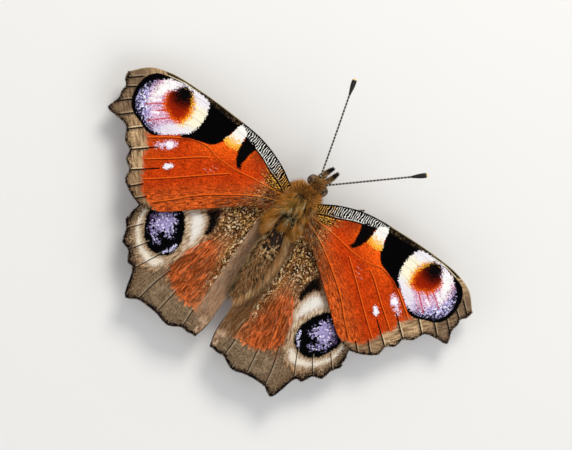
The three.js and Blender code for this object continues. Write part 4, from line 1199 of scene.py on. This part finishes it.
def buildSkin():
    skin = joinPieces("skin", [roundForm(*form) for form in skinBuild["forms"]])
    melt = skin.modifiers.new("melt", "REMESH")
    melt.mode = "VOXEL"
    melt.voxel_size = skinBuild["voxel"] * mm
    bpy.ops.object.modifier_apply(modifier=melt.name)
    ease = skin.modifiers.new("ease", "SMOOTH")
    ease.factor = skinBuild["ease"]
    ease.iterations = skinBuild["rounds"]
    bpy.ops.object.modifier_apply(modifier=ease.name)
    bpy.ops.object.shade_smooth()
    skin.data.materials.clear()
    finishPiece(skin, [grainFinish("skin under the pile")], "thorax_pile", "thorax", "head", "abdomen")
    print("skin", len(skin.data.polygons))


collarSpot = {"across": (0.75, -0.85), "halfWidth": 0.42, "along": 0.1, "halfLength": 0.05}


def collarSpots(x, v, angle):
    # two dark spots on the collar, one on each side
    row = ((v - collarSpot["along"]) / collarSpot["halfLength"]) ** 2
    spots = sum(np.exp(-(((x - at) / collarSpot["halfWidth"]) ** 2 + row)) for at in collarSpot["across"])
    return spots * (np.sin(angle) > 0)


def buildThoraxPile(pile):
    # the back: olive gold in the middle and rust at the sides, with a dark nape before the abdomen
    count = coats["thoraxBack"]["count"]
    v = between(0.06, 0.98, count)
    angle = np.where(dice.random(count) < 0.8, between(0.0, math.pi, count), between(-math.pi, 0, count))
    normals = surfaceNormals(thoraxPlaces, v, angle)
    x, y, _ = coatRoots("thoraxBack", v, angle).T
    flank = rampUp(np.abs(np.cos(angle)), 0.45, 0.95)
    leans = normals * (0.2 + 0.25 * flank)[:, None] + scatter(count, 3) * 0.42
    leans = leans + np.stack([normals[:, 0] * 0.35 * flank, 0.9 - 0.3 * flank, 0 * v], 1)
    upper = (np.sin(angle) > 0) * (1 - flank)
    nape = np.exp(-((v - 0.64) / 0.1) ** 2) * upper
    mottle = clumps(x + 3, y, 0.7, 1.1)
    rust = np.maximum(0.25 + 0.75 * flank, np.maximum(rampUp(v, 0.16, 0.06), rampUp(v, 0.6, 0.8)))
    dark = 0.08 + 0.32 * upper * rampUp(v, 0.22, 0.42) + 0.7 * nape + 0.6 * collarSpots(x, v, angle)
    zone = (rust + (mottle - 0.5) * 0.6, dark + 0.5 * rampUp(v, 0.8, 0.9) * (1 - flank),
            0.03 + 0.05 * upper * rampUp(v, 0.85, 0.7))
    tints = clumps(x, y, 0.2, 0.8)
    lengths = coatLengths("thoraxBack", count) * (1 - 0.4 * nape)
    growCoat("thoraxBack", v, angle, leans, lengths, zone, pile, tints)

    # a few pale hairs lie crossed over the dark nape
    count = coats["thoraxNape"]["count"]
    v = between(0.68, 0.82, count)
    angle = between(1.15, 1.95, count)
    heading = between(0, 2 * math.pi, count)
    leans = np.stack([np.cos(heading), np.sin(heading), 0.45 + 0 * v], 1)
    growCoat("thoraxNape", v, angle, leans, coatLengths("thoraxNape", count), (0.3, 0.0, 0.4), pile)

    # long hairs that sweep out over the wing roots and back beside the abdomen
    count = coats["thoraxShoulders"]["count"]
    v = between(0.2, 0.99, count)
    side = np.where(dice.random(count) < 0.52, 1.0, -1.0)
    rise = np.radians(between(12, 62, count))
    angle = np.where(side > 0, rise, math.pi - rise)
    x, y, _ = coatRoots("thoraxShoulders", v, angle).T
    sweep = rampUp(v, 0.2, 0.9)
    wide = np.where(side > 0, 1.0, 0.72)
    leans = np.stack([side * (1.0 - 0.4 * sweep) * wide, 0.45 + 0.75 * sweep, 0.24 - 0.12 * sweep], 1)
    leans = leans + scatter(count, 3) * np.array([0.5, 0.5, 0.3])
    lengths = coatLengths("thoraxShoulders", count) * (0.28 + 0.72 * rampUp(v, 0.3, 0.8))
    lengths = lengths * np.where(side > 0, 1, 0.85)
    tints = clumps(x - y, x + y, 0.3, 0.3)
    zone = (0.7, 0.1 + 0.2 * rampUp(v, 0.85, 0.97), 0.08)
    growCoat("thoraxShoulders", v, angle, leans, lengths, zone, pile, tints)

    count = coats["collar"]["count"]
    v = between(0.02, 0.2, count)
    angle = between(-0.5, math.pi + 0.5, count)
    spots = collarSpots(coatRoots("collar", v, angle)[:, 0], v, angle)
    leans = surfaceNormals(thoraxPlaces, v, angle) * 0.8 + np.array([0, 0.35, 0.0]) + scatter(count, 3) * 0.7
    lengths = coatLengths("collar", count) * (1 - 0.4 * spots)
    growCoat("collar", v, angle, leans, lengths, (0.95, 0.1 + 0.7 * spots, 0.05), pile)

    # a ruff that stands out round the front, beside and below the head
    count = coats["thoraxRuff"]["count"]
    v = between(0.05, 0.42, count)
    angle = np.where(dice.random(count) < 0.5, 0.0, math.pi) + scatter(count) * 1.6
    leans = (surfaceNormals(thoraxPlaces, v, angle) + scatter(count, 3) * 0.8) * np.array([1, 1, 0.4])
    growCoat("thoraxRuff", v, angle, leans, coatLengths("thoraxRuff", count), (0.85, 0.15, 0.05), pile)

    count = coats["thoraxBelly"]["count"]
    v = between(0.08, 0.92, count)
    angle = between(-math.pi + 0.2, -0.2, count)
    leans = surfaceNormals(thoraxPlaces, v, angle) * 0.35 + np.array([0, 1.0, 0]) + scatter(count, 3) * 0.5
    growCoat("thoraxBelly", v, angle, leans, coatLengths("thoraxBelly", count), (0.2, 0.5, 0.03), pile)


def abdomenArcs(v, angle):  # dark arcs across the abdomen
    return rampUp(np.sin(2 * math.pi * (v * 22 - 0.3 * np.sin(angle))), -0.2, 0.5)


def buildAbdomenPile(pile):
    # short scales in a black, gold and cream pepper, with dark arcs towards the rear
    count = coats["abdomenScales"]["count"]
    v = dice.random(count) ** 0.9 * 0.985
    angle = between(-math.pi, math.pi, count)
    leans = surfaceNormals(abdomenPlaces, v, angle) * 0.22 + np.array([0, 1.0, -0.05])
    leans = leans + scatter(count, 3) * 0.36
    lengths = coatLengths("abdomenScales", count) * (1 + 0.5 * rampUp(v, 0.85, 1))
    flank = rampUp(np.abs(np.cos(angle)), 0.6, 0.95)
    front = rampUp(v, 0.26, 0.12)
    rear = rampUp(v, 0.5, 0.7)
    rust = 0.35 + 0.6 * np.maximum(np.maximum(flank, front), 0.5 * rampUp(v, 0.5, 0.75))
    dark = 0.55 + 0.42 * front + 0.4 * abdomenArcs(v, angle) * rear - 0.3 * rear - 0.15 * flank
    pale = 0.24 * rampUp(v, 0.1, 0.26) * (1 - 0.7 * flank) * (1 - 0.6 * rear)
    tints = clumps(angle * 1.9, v * 11.3, 0.21, 0.3)
    growCoat("abdomenScales", v, angle, leans, lengths, (rust, dark, pale), pile, tints)

    # longer hairs, thick over the rear half, curving outwards in arcs
    count = coats["abdomenHairs"]["count"]
    v = 1 - dice.random(count) ** 1.6 * 0.62
    angle = between(0.1, math.pi - 0.1, count)
    leans = surfaceNormals(abdomenPlaces, v, angle) * 0.3 + scatter(count, 3) * 0.35
    leans = leans + np.stack([-0.75 * np.cos(angle + 0.5) ** 2 - 0.25, 0.65 + 0 * v, 0 * v], 1)
    zone = (0.75, 0.2 + 0.5 * abdomenArcs(v, angle), 0.1)
    growCoat("abdomenHairs", v, angle, leans, coatLengths("abdomenHairs", count), zone, pile)

    # a fringe down both sides: long and brown on the right, short and dark on the left
    count = coats["abdomenFringe"]["count"]
    v = between(0.02, 0.98, count)
    right = dice.random(count) < 0.66
    angle = np.where(right, math.pi, 0.0) + scatter(count) * 1.4
    normals = surfaceNormals(abdomenPlaces, v, angle)
    leans = normals * np.where(right, 0.75, 0.4)[:, None] + np.array([0, 1.0, 0.1])
    leans = leans + scatter(count, 3) * 0.45
    lengths = coatLengths("abdomenFringe", count) * np.where(right, 0.95, 0.45 + 0.35 * rampUp(v, 0.6, 0.85))
    zone = [np.where(right, *shares) for shares in ((0.6, 0.3), (0.1, 0.62), (0.3, 0.14))]
    growCoat("abdomenFringe", v, angle, leans, lengths, zone, pile,
             lambda spines: clumps(v * 11.3 + spines[:, -1, 0], angle, 0.2, 0.3))


def buildHeadPile(pile):
    count = coats["headHair"]["count"]
    v = between(0.04, 0.97, count)
    angle = between(-math.pi, math.pi, count)
    keep = np.abs(np.cos(angle)) < 0.86  # the eyes stand at the sides
    v, angle = v[keep], angle[keep]
    ahead = np.array(turnHead(0, 1, 0.2))
    leans = surfaceNormals(headPlaces, v, angle) * 0.8 + ahead * 0.35 + scatter(len(v), 3) * 0.7
    growCoat("headHair", v, angle, leans, coatLengths("headHair", len(v)) * 0.8, (0.62, 0.46, 0.07), pile)


# Long hairs and fringes on the wings, laid out on the wing plan. below is the line that the roots
# stay under, as its height at the hinge and its slope.

wingHair = {
    "forewing": [
        {"name": "Root", "count": 500, "s": (-1.2, 1.2), "t": (-3.6, 0.9), "below": (0.1, -0.45),
         "length": (0.6, 1.4), "width": 0.018, "rise": 0.3, "zone": (0.8, 0.4, 0.08)},
        {"name": "Rear", "count": 420, "s": (0.5, 6.5), "t": (-9.3, -1.8), "below": (-1.3, -0.62),
         "length": (0.6, 1.3), "width": 0.016, "rise": 0.12, "zone": (0.8, 0.35, 0.04)},
    ],
    "hindwing": [
        {"name": "Disc", "count": 420, "s": (0.2, 6.0), "t": (-13.5, -0.5), "below": (9.0, 0.0),
         "length": (1.3, 2.6), "width": 0.013, "rise": 0.22, "zone": (0.6, 0.4, 0.1)},
        {"name": "Inner", "count": 2400, "s": (-1.9, 0.3), "t": (-17.5, -2.5), "below": (9.0, 0.0),
         "length": (1.2, 2.3), "width": 0.02, "rise": 0.3, "zone": (0.3, 0.06, 0.1), "leftTones": "inner"},
        {"name": "Field", "count": 700, "s": (0.5, 7.0), "t": (-17.5, -10.5), "below": (9.0, 0.0),
         "length": (0.8, 1.5), "width": 0.015, "rise": 0.1, "zone": (0.95, 0.28, 0.03)},
    ],
}
cilia = {"perWing": 1500, "length": (0.22, 0.34), "width": 0.035, "inset": 0.2, "rise": 0.03, "sink": 0.06,
         "zone": (0.1, 0.84, 0.08)}
wingPatch = {"shift": (3, 24), "size": 32}  # where the plan lies on the hairs' unwrap


def insideOutline(wing, places):
    margin = [points[-1] for _, points in wing["rails"]]
    outline = [*wing["rails"][0][1], *margin[1:-1], *wing["rails"][-1][1][::-1]]
    return insideDistance(places, outline, 160)


def wingSpines(wing, side, starts, headings, lengths, rise, rings, sink=0.03):
    # hairs that lie along the wing, lifting a little towards their tips
    stops = []
    bend = scatter(len(starts), 2) * 0.3
    for share in np.linspace(0, 1, rings + 1):
        place = starts + (headings * share + bend * share ** 2) * lengths[:, None]
        above = -sink + (rise + sink) * share * (1.6 - 0.6 * share)
        height = wingLevel(wing, place[:, 0], place[:, 1]) + above
        stops.append(placeOnBody(wing, side, place[:, 0], place[:, 1], height))
    return np.stack(stops, 1)


def growOnWing(wing, name, spines, starts, plan, finish):
    patches = (starts + np.array(wingPatch["shift"])) / wingPatch["size"]
    growTufts(wing["name"] + name, spines, np.array([0, 0, 1.0]), plan["width"], patches,
              shares3(len(starts), *plan["zone"]), finish, wing["name"] + "_scales")


def buildWingHair(wing, marks, piles):
    for word, side in wingSides:
        for plan in wingHair[wing["name"]]:
            count = plan["count"] * 3
            starts = np.stack([between(*plan["s"], count), between(*plan["t"], count)], 1)
            offset, slope = plan["below"]
            keep = (starts[:, 1] < offset + slope * starts[:, 0]) & (insideOutline(wing, starts) > 0.1)
            for clear in wing["keepClear"]:
                keep &= insideDistance(starts, marks[clear]) < -0.4
            starts = starts[keep][:plan["count"]]
            count = len(starts)
            headings = unit(starts - np.array(wing["fan"])) + scatter(count, 2) * 0.35
            spines = wingSpines(wing, side, starts, headings, between(*plan["length"], count),
                                plan["rise"] * between(0.4, 1.0, count), 3)
            finish = piles[plan.get("leftTones", "wing") if word == "left" else "wing"]
            growOnWing(wing, plan["name"] + "Hair_" + word, spines, starts, plan, finish)


def buildCilia(wing, pile):
    # a fine fringe along the outer margin
    line = smoothLineByStop(marginStops(wing), 40)
    for word, side in wingSides:
        count = cilia["perWing"]
        place = dice.random(count) * (len(line) - 1.001)
        edge = pointAt(line, place)
        low = place.astype(int)
        step = unit(line[low + 1] - line[low])
        outward = np.stack([-step[:, 1], step[:, 0]], 1)
        outward = outward * np.where(np.sum(outward * (edge - np.array(wing["fan"])), 1) > 0, 1, -1)[:, None]
        spines = wingSpines(wing, side, edge - outward * cilia["inset"], outward + scatter(count, 2) * 0.4,
                            between(*cilia["length"], count), cilia["rise"], 2, cilia["sink"])
        growOnWing(wing, "Cilia_" + word, spines, edge, cilia, pile)


def tube(name, line, radii, sides, rings):
    # a grid rolled round a line of points, tapering as radii say, and closed at both ends
    line = smoothLine(line, rings + 1)
    radii = np.interp(np.linspace(0, 1, rings + 1), np.linspace(0, 1, len(radii)), radii)
    tangents = unit(np.gradient(line, axis=0))
    axis = np.cross(tangents[0], [0, 0, 1.0])
    if np.linalg.norm(axis) < 0.1:
        axis = np.array([1.0, 0, 0])
    across = []
    for tangent in tangents:
        axis = unit(axis - tangent * (axis @ tangent))
        across.append(axis)
    across = np.array(across)
    flat = np.cross(tangents, across)
    piece, roundShare, along = newGrid(name, sides, rings)
    row = np.rint(along * rings).astype(int)
    angle = (roundShare * 2 * math.pi)[:, None]
    radius = (radii[row] * np.where((row == 0) | (row == rings), 0.02, 1))[:, None]
    setPlaces(piece, line[row] + radius * (across[row] * np.cos(angle) + flat[row] * np.sin(angle)))
    carry(piece, "along", along)
    closeSeam(seams["tube"])
    return piece


seams = {"tube": 0.008, "ball": 0.0001}  # how near two vertices of a seam lie


def closeSeam(reach):
    # closes the seam of the active mesh and turns its faces outwards
    bpy.ops.object.mode_set(mode="EDIT")
    bpy.ops.mesh.select_all(action="SELECT")
    bpy.ops.mesh.remove_doubles(threshold=reach * mm)
    bpy.ops.mesh.normals_make_consistent(inside=False)
    bpy.ops.object.mode_set(mode="OBJECT")
    bpy.ops.object.shade_smooth()


def joinPieces(name, pieces):
    selectNothing()
    for piece in pieces:
        piece.select_set(True)
    bpy.context.view_layer.objects.active = pieces[0]
    bpy.ops.object.join()
    pieces[0].name = name
    pieces[0].data.name = name
    return pieces[0]


facets = {"size": 0.06, "relief": 0.012, "band": 0.45, "tones": ((24, 15, 9), (116, 88, 54))}


def eyeFinish():
    # small domed facets, brown with paler bands
    f = Finish("eye facets")
    sockets = {"Vector": f.place(), "Scale": 1 / (facets["size"] * mm)}
    dome = f.ramp(f.out(f.node("TexVoronoi", {"feature": "DISTANCE_TO_EDGE"}, sockets), "Distance"), 0.0, 0.4)
    bands = f.noise(f.place(), facets["band"] * mm, 2, 0.6)
    colour = f.blend(f.ramp(bands, 0.46, 0.58), facets["tones"][0], facets["tones"][1])
    relief = f.bump(dome, facets["relief"] * mm)
    return f.surface(colour, 0.35, relief, Coat_Weight=0.06, Coat_Roughness=0.15, Specular_IOR_Level=0.3)


def buildEyes():
    finish = eyeFinish()
    for word, side in bodySides:
        piece = roundForm("eyeBall_" + word, eyePlaces(side), *body["eye"]["mesh"])
        closeSeam(seams["ball"])
        finishPiece(piece, [finish], "eye", "eye_" + word)


antenna = {
    "root": (0.38, 0.55, 0.49),
    "lengths": {"left": 15.7, "right": 15.1},
    "radius": 0.13,
    "club": 0.36,
    "clubLength": 2.3,
    "spread": 33.5,
    "rise": 16,
    "bow": ((0, 0), (0.12, 0.175), (0.45, 0.275), (0.75, 0.15), (1, 0)),
    "whiteRings": 31,
    "mesh": (14, 240),
}


def antennaFinish():
    f = Finish("antenna rings")
    along = f.own("along")
    ring = f.sum("FRACT", along * antenna["whiteRings"])
    white = f.ramp(ring, 0.75, 0.79) * f.ramp(ring, 1.0, 0.96) * f.ramp(along, 0.86, 0.82)
    colour = f.blend(white * 0.9, (12, 9, 8), (216, 206, 186))
    colour = f.blend(f.ramp(along, 0.98, 0.99), colour, (238, 208, 150))
    return f.surface(colour, 0.5, Specular_IOR_Level=0.35)


def buildAntennae():
    finish = antennaFinish()
    spread = math.radians(antenna["spread"])
    rise = math.tan(math.radians(antenna["rise"]))
    right, forward, up = antenna["root"]
    for word, side in bodySides:
        root = fromHead(side * right, forward, up)
        heading = unit(np.array(turnHead(side * math.sin(spread), math.cos(spread), rise)))
        length = antenna["lengths"][word]
        line = [root + heading * length * share + np.array([0, 0, lift]) for share, lift in antenna["bow"]]
        shares = np.linspace(0, 1, 120)
        club = antenna["clubLength"] / length
        swell = rampUp(shares, 1 - club * 1.25, 1 - club * 0.35)
        radii = antenna["radius"] + (antenna["club"] - antenna["radius"]) * swell
        radii = radii * np.sqrt(np.maximum(0.05, 1 - np.clip((shares - 0.965) / 0.035, 0, 1) ** 2))
        piece = tube("antennaShaft_" + word, line, radii, *antenna["mesh"])
        finishPiece(piece, [finish], "antenna", "antenna_" + word)


palp = {
    "line": ((0.52, 0.6, -0.55), (0.52, 1.3, -0.75), (0.55, 2.3, -0.2), (0.5, 3.05, 0.5)),
    "radii": (0.22, 0.3, 0.3, 0.24, 0.15, 0.03),
    "mesh": (16, 40),
    "bristles": 3200,
    "length": (0.36, 0.75),
    "width": 0.018,
}


def buildPalps(pile):
    finish = grainFinish("palp skin")
    roots, leans, patches, zones = [], [], [], []
    for word, side in bodySides:
        line = np.array([fromHead(side * right, forward, up) for right, forward, up in palp["line"]])
        piece = tube("palpCore_" + word, line, palp["radii"], *palp["mesh"])
        finishPiece(piece, [finish], "head_pile", "palp_" + word)
        count = palp["bristles"]
        share = dice.random(count) ** 0.9
        even = smoothLine(line, 200)
        index = np.minimum(199, (share * 199).astype(int))
        tangent = unit(np.gradient(even, axis=0)[index])
        around = dice.normal(size=(count, 3))
        around = unit(around - tangent * np.sum(around * tangent, 1)[:, None])
        roots.append(even[index] + around * (0.2 * (1 - share * 0.8))[:, None])
        leans.append(around * (0.95 - 0.65 * share)[:, None] + tangent)
        patches.append(np.stack([(side + 1) * 0.25 + share * 0.45, 0.5 + around[:, 2] * 0.45], 1))
        zones.append(shares3(count, 0.1, 0.55 + 0.6 * rampUp(share, 0.55, 0.8), 0.1 * (1 - share)))
    roots = np.vstack(roots)
    spines = spinesFrom(roots, np.vstack(leans), between(*palp["length"], len(roots)), 2)
    growTufts("palpBristles", spines, np.array([0.3, 0.2, 0.9]), palp["width"],
              np.vstack(patches) * 0.97 + 0.01, np.vstack(zones), pile, "head_pile")


coil = {"forward": 0.98, "down": 2.3, "radius": 0.92, "pitch": 0.54, "turns": 1.1, "thickness": 0.16,
        "tip": 0.6, "mesh": (14, 200)}


def buildProboscis():
    line = [fromHead(0, 0.15, -0.8), fromHead(0, 0.1, -1.6)]
    for share in np.linspace(0, 1, 31):
        angle = math.pi + 2 * math.pi * coil["turns"] * share
        radius = coil["radius"] - coil["pitch"] * coil["turns"] * share
        ahead, up = coil["forward"] + radius * math.cos(angle), -coil["down"] + radius * math.sin(angle)
        line.append(fromHead(0, ahead, up))
    radii = [coil["thickness"]] * 4 + [coil["thickness"] * coil["tip"]]
    piece = tube("proboscisTube", line, radii, *coil["mesh"])
    finishPiece(piece, [grainFinish("proboscis horn")], "horn", "proboscis")


# Legs. Joints are [right, forward, up] from the middle of the insect. A part's radii are shares of the leg's.

legs = {
    "fore": {"root": (0.55, 2.1, 3.9), "knee": (1.2, 2.85, 2.6), "ankle": (1.15, 1.7, 2.05),
             "toe": (0.95, 0.6, 2.1), "radius": 0.26},
    "mid": {"root": (0.9, 0.5, 3.9), "knee": (4.6, 2, 4.1), "ankle": (7, 3.4, 0.7),
            "toe": (9.6, 5.4, 0.2), "radius": 0.3, "heelHeight": 0.16},
    "hind": {"root": (0.9, -1.9, 3.9), "knee": (4.3, -3.9, 3.75), "ankle": (6.6, -6.9, 0.7),
             "toe": (8.4, -9.9, 0.2), "radius": 0.3, "heelHeight": 0.16},
}
legParts = {
    "thigh": {"radii": (0.8, 1, 0.75), "mesh": (12, 24)},
    "shin": {"radii": (0.7, 0.62, 0.6), "mesh": (12, 24)},
    "toe": {"radii": (0.36, 0.42, 0.5), "mesh": (10, 10)},
}
footBuild = {"heelShare": 0.22, "trim": 0.12, "joints": (0, 22, 35, 45, 53, 60)}


def legFinish():
    f = Finish("leg scales")
    random, _, middle = f.cells(f.place(), 0.09 * mm)
    colour = f.blend(random, (44, 32, 22), (128, 98, 66))
    return f.surface(colour, 0.6, f.bump(middle, 0.03 * mm), Specular_IOR_Level=0.3)


def legPart(name, line, radius):
    return tube(name, line, [radius * share for share in legParts[name]["radii"]], *legParts[name]["mesh"])


def buildLegs():
    finish = legFinish()
    for which, plan in legs.items():
        for word, side in bodySides:
            joints = [plan[key] for key in ("root", "knee", "ankle", "toe")]
            root, knee, ankle, toe = (np.array([-side * x, -y - forwardShift, z]) for x, y, z in joints)
            heel = ankle + (toe - ankle) * footBuild["heelShare"]
            if "heelHeight" in plan:
                heel[2] = max(plan["heelHeight"], toe[2])
            parts = [legPart("thigh", [root, root * 0.5 + knee * 0.5, knee], plan["radius"]),
                     legPart("shin", [knee, knee * 0.5 + ankle * 0.5, ankle], plan["radius"])]
            toe = toe - (toe - heel) * footBuild["trim"]
            cuts = footBuild["joints"]
            foot = smoothLine([ankle, heel, heel * 0.5 + toe * 0.5, toe], cuts[-1] + 1)
            for first, last in zip(cuts, cuts[1:]):
                line = [foot[first], foot[(first + last) // 2], foot[last]]
                parts.append(legPart("toe", line, plan["radius"]))
            piece = joinPieces("legSegments_" + which + "_" + word, parts)
            finishPiece(piece, [finish], "leg_scales", "leg_" + which + "_" + word)


buildCamera()
buildLights()
buildFloor()
print("camera, lights and floor are set")
buildWing(hindwing, hindwingMarks, hindwingLines, [hindwingTop(), wingUnderside("hindwing")])
buildWing(forewing, forewingMarks, forewingLines, [forewingTop(), wingUnderside("forewing")])
print("wings built")
piles = {name: pileFinish(name + " pile", tones) for name, tones in pileTones.items()}
buildSkin()
buildThoraxPile(piles["thorax"])
buildAbdomenPile(piles["abdomen"])
buildHeadPile(piles["thorax"])
buildWingHair(forewing, forewingMarks, piles)
buildWingHair(hindwing, hindwingMarks, piles)
buildCilia(forewing, piles["wing"])
buildCilia(hindwing, piles["wing"])
print("pile grown")
buildEyes()
buildAntennae()
buildPalps(piles["abdomen"])
buildProboscis()
buildLegs()
print("head parts and legs built")
